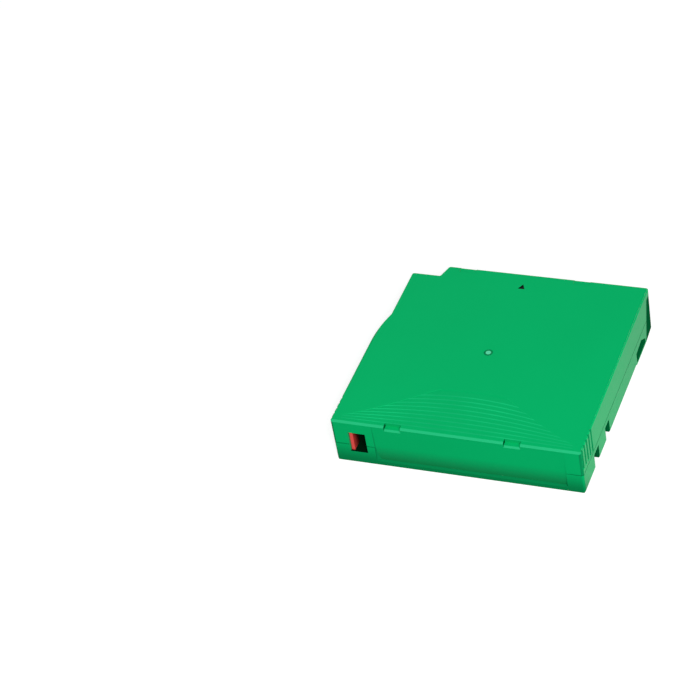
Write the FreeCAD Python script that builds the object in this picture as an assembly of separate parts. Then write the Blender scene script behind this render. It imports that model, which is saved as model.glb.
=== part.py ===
import FreeCAD, Part
import math
import os

Vec = FreeCAD.Vector

# Half-inch data tape cartridge, single reel, in millimetres.
# X runs across the case, Y from the label face to the end that goes into the drive, Z up.
# The origin is the middle of the footprint, on the surface that the cartridge rests on.

# ---- case -----------------------------------------------------------------------------
WIDTH = 105.4
DEPTH = 102.0
PLATE = 1.6                 # floor and ceiling
WALL = 1.6                  # upright walls
PARTING = 9.2               # height at which the two shells meet
PARTING_GROOVE = 0.22       # height and depth of the shadow line between the shells
CORNER_R = 1.0              # upright corners
TOP_EDGE_R = 0.5
CUT_THROUGH = 1.0           # how far a cutting solid runs past the face it opens

# ---- reel stack, bottom to top: the case height is what it adds up to --------------------
SEAT_HEIGHT = 0.8           # ring on the floor that the resting reel sits on
FLANGE = 1.3
TAPE_GAP = 0.2              # between a tape edge and its flange
TAPE_WIDTH = 12.65
HEADROOM = 1.85             # upper flange to ceiling
REEL_GAP = 0.5              # flange rim to the label panel
PACK_MARGIN = 1.5           # flange rim to the outermost turn
HUB_R = 22.0                # core that the tape is wound on
HUB_WALL = 3.4
FLANGE_SEAT = 1.5           # width of the ledge under the upper flange
FLANGE_BEVEL = 0.5

FLOOR_TOP = PLATE
SEAT_TOP = FLOOR_TOP + SEAT_HEIGHT
HUB_FLOOR_TOP = SEAT_TOP + FLANGE
TAPE_BOTTOM = HUB_FLOOR_TOP + TAPE_GAP
TAPE_TOP = TAPE_BOTTOM + TAPE_WIDTH
UPPER_FLANGE_BOTTOM = TAPE_TOP + TAPE_GAP
UPPER_FLANGE_TOP = UPPER_FLANGE_BOTTOM + FLANGE
CEILING = UPPER_FLANGE_TOP + HEADROOM
HEIGHT = CEILING + PLATE
HALF_W = WIDTH / 2
HALF_D = DEPTH / 2

# ---- label panel: the upper shell's front, leaning back towards the floor ----------------
PANEL_LEFT = 17.6           # case side to panel end
PANEL_RIGHT = 7.2
PANEL_LEAN = 1.4            # set-back at the foot
PANEL_TOP_LEAN = 0.12       # set-back at the head
PANEL_MID_LEAN = 0.3        # set-back where the curved lower part starts
PANEL_MID = 11.0            # height at which it starts
PANEL_HEAD = 0.9            # top of the case to the head of the panel
PANEL_THICK = 1.2
LEDGE = 2.0                 # the lower shell's sill under the panel
PANEL_FIT = 0.12            # running gap round the panel

PANEL_X0 = -HALF_W + PANEL_LEFT
PANEL_X1 = HALF_W - PANEL_RIGHT
PANEL_INNER_Y = -HALF_D + PANEL_LEAN + PANEL_THICK

FLANGE_R = min(HALF_W - WALL, -PANEL_INNER_Y) - REEL_GAP
PACK_R = FLANGE_R - PACK_MARGIN

# ---- drive side of the reel --------------------------------------------------------------
TEETH = 60
TOOTH_FILL = 0.94           # share of the pitch that a tooth's foot takes
HUB_BORE_GAP = 0.6          # hub boss to the opening in the floor
SEAT_WIDTH = 2.4
DRIVE_TOOTH = 1.1
DRIVE_RING_WIDTH = 2.8
HUB_BOSS_R = 17.8
HUB_FLOOR_RISE = 0.1        # hub underside above the case floor's upper face
DRIVE_PLATE = 0.8
DRIVE_PLATE_GAP = 0.4       # steel plate to the ring of teeth
DRIVE_PLATE_HOLE_R = 3.5

HUB_UNDERSIDE = FLOOR_TOP + HUB_FLOOR_RISE
OPENING_R = HUB_BOSS_R + HUB_BORE_GAP
DRIVE_RING_INNER = HUB_BOSS_R - 0.2 - DRIVE_RING_WIDTH
DRIVE_PLATE_R = DRIVE_RING_INNER - DRIVE_PLATE_GAP

# ---- reel brake -----------------------------------------------------------------------------
BRAKE_TRAVEL = 2.0
BRAKE_TOOTH = 1.4
BRAKE_MESH_GAP = 0.1        # tooth tip to the opposite root
BRAKE_RING_INNER = 12.3
BRAKE_RING_OUTER = 15.5
BRAKE_DISC = 1.4
BRAKE_DISC_RIM = 0.4        # disc beyond its teeth
SOCKET_R = 5.3
SOCKET_FLOOR = 1.7          # from the disc's underside to the bottom of the socket
POST_RIB = 2.0              # thickness of the cross-shaped post's ribs
POST_SPAN = 7.2
POST_FIT = 0.15             # each side, post in socket
POST_TIP_GAP = 0.15         # post to socket bottom with the brake fully lifted
SOCKET_CEILING_GAP = 1.2    # socket rim to ceiling with the brake fully lifted

RELEASE_LEGS = 3
LEG_CIRCLE_R = 9.0
LEG_R = 1.7
LEG_FIT = 0.4
LEG_TIP_SET_BACK = 0.1      # leg tips above the steel plate's underside
RELEASE_PLATE = 1.1
RELEASE_HUB_R = 3.6
RELEASE_ARM_R = 2.5

BRAKE_ROOT = HUB_FLOOR_TOP + BRAKE_TOOTH + BRAKE_MESH_GAP
SOCKET_BOTTOM = BRAKE_ROOT + SOCKET_FLOOR
SOCKET_TOP = CEILING - SOCKET_CEILING_GAP - BRAKE_TRAVEL
POST_TIP = SOCKET_BOTTOM + BRAKE_TRAVEL + POST_TIP_GAP

BRAKE_WIRE = 0.8
BRAKE_COIL_R = 7.0
BRAKE_TURNS = 6
SPRING_SEAT_GAP = 0.03      # coil end to the face it bears on
SPRING_RING_H = 1.0
SPRING_RING_W = 1.0
SPRING_RING_GAP = 0.5
REEL_STOP_R = 24.2
REEL_STOP_W = 1.2
REEL_STOP_H = 1.1

CLOSED_PITCH = 1.15         # pitch of a spring's end turns, in wire diameters
COIL_CHORDS = 18            # straight runs in one turn
WIRE_SIDES = 6

# ---- side recess and tape door ----------------------------------------------------------------
BAY_INSET = 3.0             # case side to recess wall at the rear
BAY_INSET_FRONT = 2.9       # the same at the front end of the straight stretch
BAY_REAR = 6.6              # rear of the case to the recess corner
BAY_START = 16.8            # where the curved stretch ends
BAY_CURVE_Y = 7.4
BAY_CURVE_R = 60.0
BAY_CORNER_R = 1.0
STEP_WIDTH = 15.5           # case side to the foot of the rear step
STEP_SLANT = 2.1
STEP_R = 1.2

DOOR_SKIN = 1.1             # case wall outside the door
DOOR_FIT = 0.2
DOOR_THICK = 1.1
TRACK_DEPTH = 0.6           # grooves in floor and ceiling
DOOR_OVERLAP = 0.5          # closed door over the front edge of the opening
DOOR_LIP = 1.0
DOOR_LIP_STOP = 0.1         # lip to wall with the door fully open
DOOR_REEL_GAP = 0.45        # parked door to reel flange
DOOR_BEND_GAP = 0.5         # parked door to the curved stretch of the wall
DOOR_LUG = 1.0
DOOR_LUG_H = 3.6
LUG_SETBACK = 2.0           # rear of the door to the lug



def clear_of_reel(gap, x):
    """Distance along Y at which something at x stands clear of the reel's flanges by the gap."""
    return math.sqrt(max((FLANGE_R + gap) ** 2 - x ** 2, 0.0))


BAY_X = -HALF_W + BAY_INSET
BAY_FRONT_X = -HALF_W + BAY_INSET_FRONT
BAY_Y = HALF_D - BAY_REAR
STEP_X = -HALF_W + STEP_WIDTH
DOOR_X0 = BAY_X + DOOR_SKIN + DOOR_FIT
DOOR_X1 = DOOR_X0 + DOOR_THICK
DOOR_PARKED_Y = max(clear_of_reel(DOOR_REEL_GAP, DOOR_X1), BAY_START + DOOR_BEND_GAP)
OPENING_LENGTH = (BAY_Y - DOOR_PARKED_Y - DOOR_OVERLAP + DOOR_LIP + DOOR_LIP_STOP) / 2
OPENING_Y0 = BAY_Y - OPENING_LENGTH
DOOR_TRAVEL = OPENING_LENGTH - DOOR_LIP - DOOR_LIP_STOP
DOOR_Y0 = OPENING_Y0 - DOOR_OVERLAP

DOOR_WIRE = 0.36
DOOR_COIL_R = 1.2
DOOR_TURNS = 11
DOOR_COIL_GAP = 0.2
DOOR_COIL_Z = 4.2
SPRING_RIB = 1.0
SPRING_RIB_W = 1.9
SPRING_RIB_REEL_GAP = 0.6

DOOR_COIL_X = DOOR_X1 + DOOR_COIL_GAP + DOOR_COIL_R + DOOR_WIRE / 2
LUG_X1 = DOOR_COIL_X + DOOR_COIL_R + DOOR_WIRE / 2
LUG_Y0 = BAY_Y - LUG_SETBACK - DOOR_LUG
RIB_X1 = DOOR_X1 + DOOR_COIL_GAP + SPRING_RIB_W
RIB_Y0 = max(clear_of_reel(SPRING_RIB_REEL_GAP, RIB_X1), DOOR_PARKED_Y)

# ---- leader pin -------------------------------------------------------------------------------------
PIN_SHAFT_R = 1.2
PIN_NECK_R = 1.6
PIN_HEAD_R = 2.6
PIN_FLANGE_R = 2.6
PIN_FLANGE = 0.6
PIN_NECK = 0.8
PIN_HEAD = 0.7
PIN_SIDE_GAP = 0.6          # pin head to the door's lug
CLIP_R = 2.3
CLIP_FIT = 0.03
CLIP_MOUTH = 1.5
LEADER_FILM = 0.12
GUARD_GAP = 0.25
GUARD_WALL = 1.0
GUARD_HEIGHT = 0.9
PIN_WIRE = 0.5
PIN_WIRE_GAP = 0.03
PIN_SPRING_REEL_GAP = 0.35  # spring's loop to reel flange
PIN_SPRING_TIP = 2.2        # pin axis to the flared tips
PIN_SPRING_FLARE = 0.7
POST_TOP_OVER_WIRE = 0.3

PIN_X = LUG_X1 + PIN_SIDE_GAP + PIN_HEAD_R
PIN_Y = OPENING_Y0 + OPENING_LENGTH / 2
PIN_LOW_FLANGE = TAPE_BOTTOM - 0.1 - PIN_FLANGE
PIN_LOW_NECK = PIN_LOW_FLANGE - PIN_NECK
PIN_BOTTOM = PIN_LOW_NECK - PIN_HEAD
PIN_HIGH_FLANGE = TAPE_TOP + 0.1 + PIN_FLANGE
PIN_HIGH_NECK = PIN_HIGH_FLANGE + PIN_NECK
PIN_TOP = PIN_HIGH_NECK + PIN_HEAD
PIN_LOOP_R = PIN_NECK_R + PIN_WIRE_GAP + PIN_WIRE
PIN_POST_X = -clear_of_reel(PIN_SPRING_REEL_GAP + PIN_LOOP_R, PIN_Y)

# ---- fasteners and bottom features --------------------------------------------------------------------
SCREW_HEAD_R = 2.3
SCREW_HEAD = 1.4
SCREW_SINK = 0.5            # head below the bottom face
SCREW_R = 1.05
SCREW_LENGTH = 14.0
SCREW_POCKET_GAP = 0.25
SCREW_HOLE_GAP = 0.2
SCREW_THREAD_GAP = 0.05
SCREW_LOBES = 6
BOSS_R = 3.1
FRONT_BOSS_GAP = 2.8        # front bosses to the memory tag
FRONT_BOSS_INSET = 6.0
REAR_BOSS_INSET = 4.6
REAR_LEFT_BOSS = 5.2        # foot of the rear step to the screw beside it

LOCATOR_R = 2.5
LOCATOR_DEPTH = 5.4
LOCATOR_SLOT = 2.0          # extra length of the slotted one
LOCATOR_WALL = 1.2
LOCATOR_X = 40.5
LOCATOR_INSET = 14.5

BEVEL_INSET = 0.5
BEVEL_HEIGHT = 0.8
RIGHT_BEVEL_END = 24.5      # rear of the case to the end of the bevel
LEFT_BEVEL_END = 51.0
NOTCHES = ((14.4, 6.3), (30.5, 5.5))    # (label face to notch, length along the side)
NOTCH_DEPTH = 3.6
NOTCH_TOP = 7.1
NOTCH_SKIN = 1.2
KEY_FROM_BEVEL = 0.5
KEY_LENGTH = 13.4
KEY_CREST = 7.8             # front of the slot to its highest point
KEY_Z0 = 0.8
KEY_FRONT_Z = 5.5
KEY_CREST_Z = 6.5
KEY_REAR_Z = 2.9
KEY_DEPTH = 1.2
KEY_SKIN = 1.4
LEAD_IN_FOOT = 9.5
LEAD_IN_HEAD = 4.6
LEAD_IN_HEIGHT = 18.5
LEAD_IN_DEPTH = 0.45

# ---- upper shell details ------------------------------------------------------------------------------
GRIP_GROOVES = 5
GRIP_PITCH = 3.05
GRIP_START = 1.6            # label face to the first groove
GRIP_R = 0.95
GRIP_DEPTH = 0.42
GRIP_FOOT_FRONT = 11.8
GRIP_FOOT_REAR = 9.8
FRONT_EDGE = 0.8            # chamfer along the lid's front edge
STACK_NOTCHES = (-29.7, 20.7)
STACK_NOTCH_WIDTH = 7.0
STACK_NOTCH_REACH = 2.7
STACK_NOTCH_SINK = 1.8
STACK_PAD = 1.3
RIPPLE_SINK = 0.16
RIPPLE_PITCH = 2.5
RIPPLE_COUNT = 9
RIPPLE_WIDTH = 1.1
RIPPLE_CREST = 0.35
RIPPLE_FIRST = 3.4          # label face to the first ridge
RIPPLE_SIDE = 4.2           # case side to the field's ends
RIPPLE_SHORT = 5.0          # height of the field at its ends
RIPPLE_TALL = 25.0          # height of the field in the middle
RIPPLE_CROWN = 29.4         # width of the field at its crown
RIPPLE_FRONT = 1.6
GATE_X = -1.4
GATE_R = 1.9
GATE_SINK = 0.3
GATE_NUB_R = 0.7
ARROW_BASE = 3.0
ARROW_LENGTH = 3.0
ARROW_Y = 41.5
ARROW_SINK = 0.5

# ---- write-protect switch --------------------------------------------------------------------------------
WINDOW_X = 6.7              # case side to window
WINDOW_WIDTH = 7.5
WINDOW_Z0 = 5.7
WINDOW_HEIGHT = 10.1
SLIDER_FIT = 0.15
SLIDER_TRAVEL = 5.5
SLIDER_LENGTH = 5.5
SLIDER_DEPTH = 4.4
SLIDER_SHOWS = 1.8          # how much of the parked slider stands in the window
SLIDER_RIDGE = 1.5
SLIDER_RIDGE_REACH = 1.1
SLIDER_SKIN = 1.0
POCKET_WALL = 1.0

WINDOW_X0 = -HALF_W + WINDOW_X
WINDOW_X1 = WINDOW_X0 + WINDOW_WIDTH
WINDOW_Z1 = WINDOW_Z0 + WINDOW_HEIGHT
SLIDER_X1 = WINDOW_X0 + SLIDER_SHOWS
POCKET_Y0 = -HALF_D + WALL
POCKET_Y1 = POCKET_Y0 + SLIDER_DEPTH + 2 * SLIDER_FIT
POCKET_X1 = SLIDER_X1 + SLIDER_TRAVEL + 0.5

# ---- memory tag ----------------------------------------------------------------------------------------------
TAG_LENGTH = 10.6
TAG_HEIGHT = 9.0
TAG_BOARD = 0.6
TAG_SIDE_GAP = 0.3          # board to the fillet behind the side bevel
TAG_FRONT_GAP = 0.3         # board's upper edge to the label panel
TAG_LEAN = 45.0
TAG_TRACK = 0.5
TAG_TRACK_THICK = 0.1
TAG_TRACK_PITCH = 0.95
TAG_TURNS = 3
TAG_EDGE = 0.5
TAG_CHIP = 2.4
TAG_CHIP_THICK = 0.7
TAG_RIB = 1.0

TAG_X0 = HALF_W - WALL - BEVEL_INSET - TAG_SIDE_GAP - TAG_LENGTH
FRONT_BOSS_X = TAG_X0 - FRONT_BOSS_GAP - BOSS_R


# ==== shapes used throughout =============================================================

def box(x0, x1, y0, y1, z0, z1):
    """Block between two corners."""
    return Part.makeBox(x1 - x0, y1 - y0, z1 - z0, Vec(x0, y0, z0))


def rod(radius, z0, z1, x=0.0, y=0.0):
    """Upright cylinder."""
    return Part.makeCylinder(radius, z1 - z0, Vec(x, y, z0))


def ring(outer, inner, z0, z1, x=0.0, y=0.0):
    """Upright tube."""
    return rod(outer, z0, z1, x, y).cut(rod(inner, z0, z1, x, y))


def turned(profile):
    """Solid turned about Z from (radius, height) points."""
    points = [Vec(r, 0, z) for r, z in profile]
    face = Part.Face(Part.makePolygon(points + points[:1]))
    return face.revolve(Vec(0, 0, 0), Vec(0, 0, 1), 360)


def prism_z(points, z0, z1):
    """Upright prism over (x, y) points."""
    corners = [Vec(x, y, z0) for x, y in points]
    return Part.Face(Part.makePolygon(corners + corners[:1])).extrude(Vec(0, 0, z1 - z0))


def prism_x(points, x0, x1):
    """Prism along X over (y, z) points."""
    corners = [Vec(x0, y, z) for y, z in points]
    return Part.Face(Part.makePolygon(corners + corners[:1])).extrude(Vec(x1 - x0, 0, 0))


def prism_y(points, y0, y1):
    """Prism along Y over (x, z) points."""
    corners = [Vec(x, y0, z) for x, z in points]
    return Part.Face(Part.makePolygon(corners + corners[:1])).extrude(Vec(0, y1 - y0, 0))


def rounded_face(corners):
    """Face at z = 0 from (x, y, radius) corners joined by straight lines."""
    rounds = []
    for before, corner, after in zip(corners[-1:] + corners[:-1], corners, corners[1:] + corners[:1]):
        tip = Vec(corner[0], corner[1], 0)
        back = (Vec(before[0], before[1], 0) - tip).normalize()
        ahead = (Vec(after[0], after[1], 0) - tip).normalize()
        half_angle = back.getAngle(ahead) / 2
        reach = corner[2] / math.tan(half_angle)
        middle = tip + (back + ahead).normalize() * (corner[2] / math.sin(half_angle) - corner[2])
        rounds.append((tip + back * reach, middle, tip + ahead * reach, corner[2]))
    edges = []
    for here, after in zip(rounds, rounds[1:] + rounds[:1]):
        if here[3] > 0:
            edges.append(Part.Arc(here[0], here[1], here[2]).toShape())
        edges.append(Part.LineSegment(here[2], after[0]).toShape())
    return Part.Face(Part.Wire(edges))


def slab(face, z0, z1):
    """Upright solid between two heights over a face drawn at z = 0."""
    return face.translated(Vec(0, 0, z0)).extrude(Vec(0, 0, z1 - z0))


def fused(base, additions):
    """One solid from a base and what is moulded onto it."""
    return base.multiFuse(additions).removeSplitter()


def carved(base, tools):
    """The base with every tool cut away."""
    return base.cut(Part.makeCompound(tools))


def mirrored(shape):
    """The same shape on the other side of the case."""
    return shape.mirror(Vec(0, 0, 0), Vec(1, 0, 0))


def crown_teeth(inner, outer, root, tip, turn=0.0):
    """Ring of wedge teeth that stand on a flat face, as a list of solids."""
    half_pitch = math.pi / TEETH * TOOTH_FILL
    sections = []
    for radius in (inner, outer):
        half = radius * math.tan(half_pitch)
        corners = [Vec(radius, -half, root), Vec(radius, half, root), Vec(radius, 0, tip)]
        sections.append(Part.makePolygon(corners + corners[:1]))
    tooth = Part.makeLoft(sections, True, True)
    teeth = []
    for index in range(TEETH):
        copy = tooth.copy()
        copy.rotate(Vec(0, 0, 0), Vec(0, 0, 1), (index + turn) * 360.0 / TEETH)
        teeth.append(copy)
    return teeth


def coil(radius, wire, length, turns):
    """Compression spring along Z from z = 0, closed at both ends and wound in short chords."""
    closed_pitch = wire * CLOSED_PITCH
    open_pitch = (length - wire - 2 * closed_pitch) / (turns - 2)
    points = []
    for step in range(turns * COIL_CHORDS + 1):
        turn = step / COIL_CHORDS
        height = closed_pitch * (min(turn, 1.0) + max(turn - turns + 1.0, 0.0))
        height += open_pitch * min(max(turn - 1.0, 0.0), turns - 2.0)
        angle = 2 * math.pi * turn
        points.append(Vec(radius * math.cos(angle), radius * math.sin(angle), wire / 2 + height))
    ahead = (points[1] - points[0]).normalize()
    across = ahead.cross(Vec(0, 0, 1)).normalize()
    upward = across.cross(ahead)
    corners = []
    for index in range(WIRE_SIDES + 1):
        angle = 2 * math.pi * index / WIRE_SIDES
        corners.append(points[0] + (across * math.cos(angle) + upward * math.sin(angle)) * (wire / 2))
    return Part.makePolygon(points).makePipeShell([Part.makePolygon(corners)], True, True, 1)


# ==== case ===============================================================================

def case_face():
    """Plan of the case: a rectangle with the tape door's recess on its left side."""
    return rounded_face([
        (-HALF_W, -HALF_D, CORNER_R),
        (HALF_W, -HALF_D, CORNER_R),
        (HALF_W, HALF_D, CORNER_R),
        (STEP_X + STEP_SLANT, HALF_D, STEP_R),
        (STEP_X, BAY_Y, STEP_R / 2),
        (BAY_X, BAY_Y, BAY_CORNER_R),
        (BAY_FRONT_X, BAY_START, 0.0),
        (-HALF_W, BAY_CURVE_Y, BAY_CURVE_R),
    ])


def inset_face(face, inset):
    """The same plan drawn inside by a wall."""
    return Part.Face(face.OuterWire.makeOffset2D(-inset, 2))


def screw_spots():
    """Places of the four case screws."""
    front = -HALF_D + FRONT_BOSS_INSET
    rear = HALF_D - REAR_BOSS_INSET
    return [(-FRONT_BOSS_X, front), (FRONT_BOSS_X, front), (STEP_X + REAR_LEFT_BOSS, rear),
            (HALF_W - REAR_BOSS_INSET - WALL, rear)]


def notch_ranges():
    """Start and end along Y of the handling notches on each side."""
    return [(-HALF_D + start, -HALF_D + start + length) for start, length in NOTCHES]


def panel_relief():
    """What the label panel leaves free in front of itself: upright above, curving back below."""
    head = Vec(0, -HALF_D + PANEL_TOP_LEAN, HEIGHT - PANEL_HEAD)
    middle = Vec(0, -HALF_D + PANEL_MID_LEAN, PANEL_MID)
    foot = Vec(0, -HALF_D + PANEL_LEAN, LEDGE)
    down = (middle - head).normalize()
    normal = Vec(0, -down.z, down.y)
    chord = foot - middle
    centre = middle + normal * (chord.dot(chord) / (2 * chord.dot(normal)))
    bend = centre + ((middle + foot) * 0.5 - centre).normalize() * (middle - centre).Length
    out = -HALF_D - CUT_THROUGH
    outer_foot = Vec(0, out, LEDGE)
    outer_head = Vec(0, out, HEIGHT - PANEL_HEAD)
    outline = Part.Wire([
        Part.LineSegment(outer_head, head).toShape(),
        Part.LineSegment(head, middle).toShape(),
        Part.Arc(middle, bend, foot).toShape(),
        Part.LineSegment(foot, outer_foot).toShape(),
        Part.LineSegment(outer_foot, outer_head).toShape(),
    ])
    block = Part.Face(outline).translated(Vec(PANEL_X0, 0, 0)).extrude(Vec(PANEL_X1 - PANEL_X0, 0, 0))
    slant = prism_z([(PANEL_X0 - CUT_THROUGH, -HALF_D), (PANEL_X0, -HALF_D),
                     (PANEL_X0 + 2 * PANEL_LEAN, -HALF_D + 2 * PANEL_LEAN),
                     (PANEL_X0 - CUT_THROUGH, -HALF_D + 2 * PANEL_LEAN)], 0.0, HEIGHT)
    return block.cut(slant)


def label_panel():
    """The part of the upper shell that hangs down in front, behind the label."""
    return box(PANEL_X0 + PANEL_FIT, PANEL_X1 - PANEL_FIT, -HALF_D, PANEL_INNER_Y, LEDGE + PANEL_FIT, CEILING)


def side_bevel(side, y1):
    """Wedge cut along the bottom edge of one side."""
    rise = BEVEL_HEIGHT / BEVEL_INSET
    out = HALF_W + CUT_THROUGH
    low = -CUT_THROUGH
    foot = HALF_W - BEVEL_INSET + low / rise
    return prism_y([(side * out, low), (side * out, BEVEL_HEIGHT + CUT_THROUGH * rise), (side * foot, low)],
                   -HALF_D - CUT_THROUGH, y1)


def bevel_backing(side, y1):
    """Inner fillet that keeps the wall's thickness behind the bevel."""
    edge = side * (HALF_W - WALL / 2)
    foot = side * (HALF_W - WALL - BEVEL_INSET)
    return prism_y([(edge, PLATE / 2), (edge, BEVEL_HEIGHT + PLATE), (side * (HALF_W - WALL), BEVEL_HEIGHT + PLATE),
                    (foot, PLATE), (foot, PLATE / 2)], -HALF_D + WALL / 2, y1 - WALL)


def lead_in():
    """Shallow facet that eases the rear right corner into the drive."""
    low = Vec(HALF_W, HALF_D - LEAD_IN_FOOT, 0)
    high = Vec(HALF_W, HALF_D - LEAD_IN_HEAD, LEAD_IN_HEIGHT)
    slope = Vec(-LEAD_IN_DEPTH, LEAD_IN_FOOT, 0)
    below = low - (high - low) * 0.2
    points = [below - slope * 0.2, high - slope * 0.2, high + slope * 1.5, below + slope * 1.5]
    return Part.Face(Part.makePolygon(points + points[:1])).extrude(Vec(WALL, 0, 0))


def track_slot(z0, z1):
    """Room that the tape door slides in."""
    return box(DOOR_X0 - DOOR_FIT, DOOR_X1 + DOOR_FIT, DOOR_PARKED_Y - DOOR_FIT, BAY_Y + CUT_THROUGH, z0, z1)


def tape_opening(z0, z1):
    """The gap in the recess wall that the leader pin comes out through."""
    return box(BAY_FRONT_X - CUT_THROUGH, DOOR_X1, OPENING_Y0, BAY_Y + CUT_THROUGH, z0, z1)


def pin_guard(z0, z1):
    """Low horseshoe round one end of the leader pin, open towards the tape door."""
    horseshoe = ring(PIN_HEAD_R + GUARD_GAP + GUARD_WALL, PIN_HEAD_R + GUARD_GAP, z0, z1, PIN_X, PIN_Y)
    mouth = box(PIN_X - 2 * PIN_HEAD_R - GUARD_WALL, PIN_X, PIN_Y - 2 * PIN_HEAD_R, PIN_Y + 2 * PIN_HEAD_R,
                z0, z1)
    return horseshoe.cut(mouth)


def pin_spring_post(z0, z1):
    """Post that a pin spring loops round."""
    return rod(PIN_NECK_R, z0, z1, PIN_POST_X, PIN_Y)


def slider_pocket(z0, z1):
    """Walls behind and beside the write-protect slider."""
    left = -HALF_W + WALL / 2
    rear = box(left, POCKET_X1 + POCKET_WALL, POCKET_Y1, POCKET_Y1 + POCKET_WALL, z0, z1)
    side = box(POCKET_X1, POCKET_X1 + POCKET_WALL, POCKET_Y0 - WALL / 2, POCKET_Y1 + POCKET_WALL, z0, z1)
    return [rear, side]


def window_cut():
    """Window in the label face for the write-protect slider."""
    return box(WINDOW_X0, WINDOW_X1, -HALF_D - CUT_THROUGH, POCKET_Y0, WINDOW_Z0, WINDOW_Z1)


def lower_shell(plan):
    """Lower half of the case, with the reel seat, bosses, notches and locating holes."""
    shell = slab(plan, 0.0, PARTING).cut(slab(inset_face(plan, WALL), FLOOR_TOP, PARTING + CUT_THROUGH))
    right_end = HALF_D - RIGHT_BEVEL_END
    left_end = HALF_D - LEFT_BEVEL_END
    added = [bevel_backing(1, right_end), bevel_backing(-1, left_end)]
    removed = [side_bevel(1, right_end), side_bevel(-1, left_end), lead_in(), window_cut()]

    added.append(ring(OPENING_R + SEAT_WIDTH, OPENING_R, FLOOR_TOP / 2, SEAT_TOP))
    removed.append(rod(OPENING_R, -CUT_THROUGH, SEAT_TOP))

    for x, y in screw_spots():
        added.append(rod(BOSS_R, 0.0, PARTING, x, y))
        removed.append(rod(SCREW_HEAD_R + SCREW_POCKET_GAP, -CUT_THROUGH, SCREW_SINK + SCREW_HEAD, x, y))
        removed.append(rod(SCREW_R + SCREW_HOLE_GAP, 0.0, PARTING, x, y))

    locator_y = -HALF_D + LOCATOR_INSET
    boss_top = LOCATOR_DEPTH + PLATE
    for x, stretch in ((LOCATOR_X, 0.0), (-LOCATOR_X, LOCATOR_SLOT)):
        for radius, z0, z1, where in ((LOCATOR_R + LOCATOR_WALL, 0.0, boss_top, added),
                                      (LOCATOR_R, -CUT_THROUGH, LOCATOR_DEPTH, removed)):
            where.append(rod(radius, z0, z1, x - stretch / 2, locator_y))
            if stretch:
                where.append(rod(radius, z0, z1, x + stretch / 2, locator_y))
                where.append(box(x - stretch / 2, x + stretch / 2, locator_y - radius, locator_y + radius, z0, z1))

    for y0, y1 in notch_ranges():
        pocket = box(HALF_W - NOTCH_DEPTH - NOTCH_SKIN, HALF_W - WALL / 2, y0 - NOTCH_SKIN, y1 + NOTCH_SKIN,
                     FLOOR_TOP / 2, NOTCH_TOP + NOTCH_SKIN)
        notch = box(HALF_W - NOTCH_DEPTH, HALF_W + CUT_THROUGH, y0, y1, -CUT_THROUGH, NOTCH_TOP)
        added += [pocket, mirrored(pocket)]
        removed += [notch, mirrored(notch)]

    key_y0 = right_end + KEY_FROM_BEVEL
    key_y1 = key_y0 + KEY_LENGTH
    added.append(box(HALF_W - KEY_DEPTH - KEY_SKIN, HALF_W - WALL / 2, key_y0 - KEY_SKIN, key_y1 + KEY_SKIN,
                     FLOOR_TOP / 2, KEY_CREST_Z + KEY_SKIN))
    removed.append(prism_x([(key_y0, KEY_Z0), (key_y0, KEY_FRONT_Z), (key_y0 + KEY_CREST, KEY_CREST_Z),
                            (key_y1, KEY_REAR_Z), (key_y1, KEY_Z0)], HALF_W - KEY_DEPTH, HALF_W + CUT_THROUGH))

    added.append(box(DOOR_X1 + DOOR_FIT, RIB_X1, RIB_Y0, RIB_Y0 + SPRING_RIB, FLOOR_TOP / 2,
                     DOOR_COIL_Z + DOOR_COIL_R))
    added.append(pin_guard(FLOOR_TOP / 2, FLOOR_TOP + GUARD_HEIGHT))
    added.append(pin_spring_post(FLOOR_TOP / 2, PIN_LOW_NECK + PIN_NECK / 2 + PIN_WIRE / 2 + POST_TOP_OVER_WIRE))
    removed.append(track_slot(FLOOR_TOP - TRACK_DEPTH, PARTING + CUT_THROUGH))
    removed.append(tape_opening(FLOOR_TOP, PARTING + CUT_THROUGH))

    added += slider_pocket(FLOOR_TOP / 2, PARTING)
    added.append(box(-HALF_W + WALL / 2, POCKET_X1, POCKET_Y0 - WALL / 2, POCKET_Y1, FLOOR_TOP / 2, WINDOW_Z0))

    tag_y = PANEL_INNER_Y + TAG_FRONT_GAP
    for x in (TAG_X0 + TAG_RIB, TAG_X0 + TAG_LENGTH - 2 * TAG_RIB):
        added.append(prism_x(tag_rest(tag_y), x, x + TAG_RIB))

    removed.append(box(PANEL_X0, PANEL_X1, -HALF_D - CUT_THROUGH, PANEL_INNER_Y, LEDGE, PARTING + CUT_THROUGH))
    return carved(fused(shell, added), removed)


def cross_post(z0, z1, fit=0.0):
    """Cross-shaped key that lets the brake slide but not turn."""
    half = POST_SPAN / 2 + fit
    rib = POST_RIB / 2 + fit
    return box(-half, half, -rib, rib, z0, z1).fuse(box(-rib, rib, -half, half, z0, z1))


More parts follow.
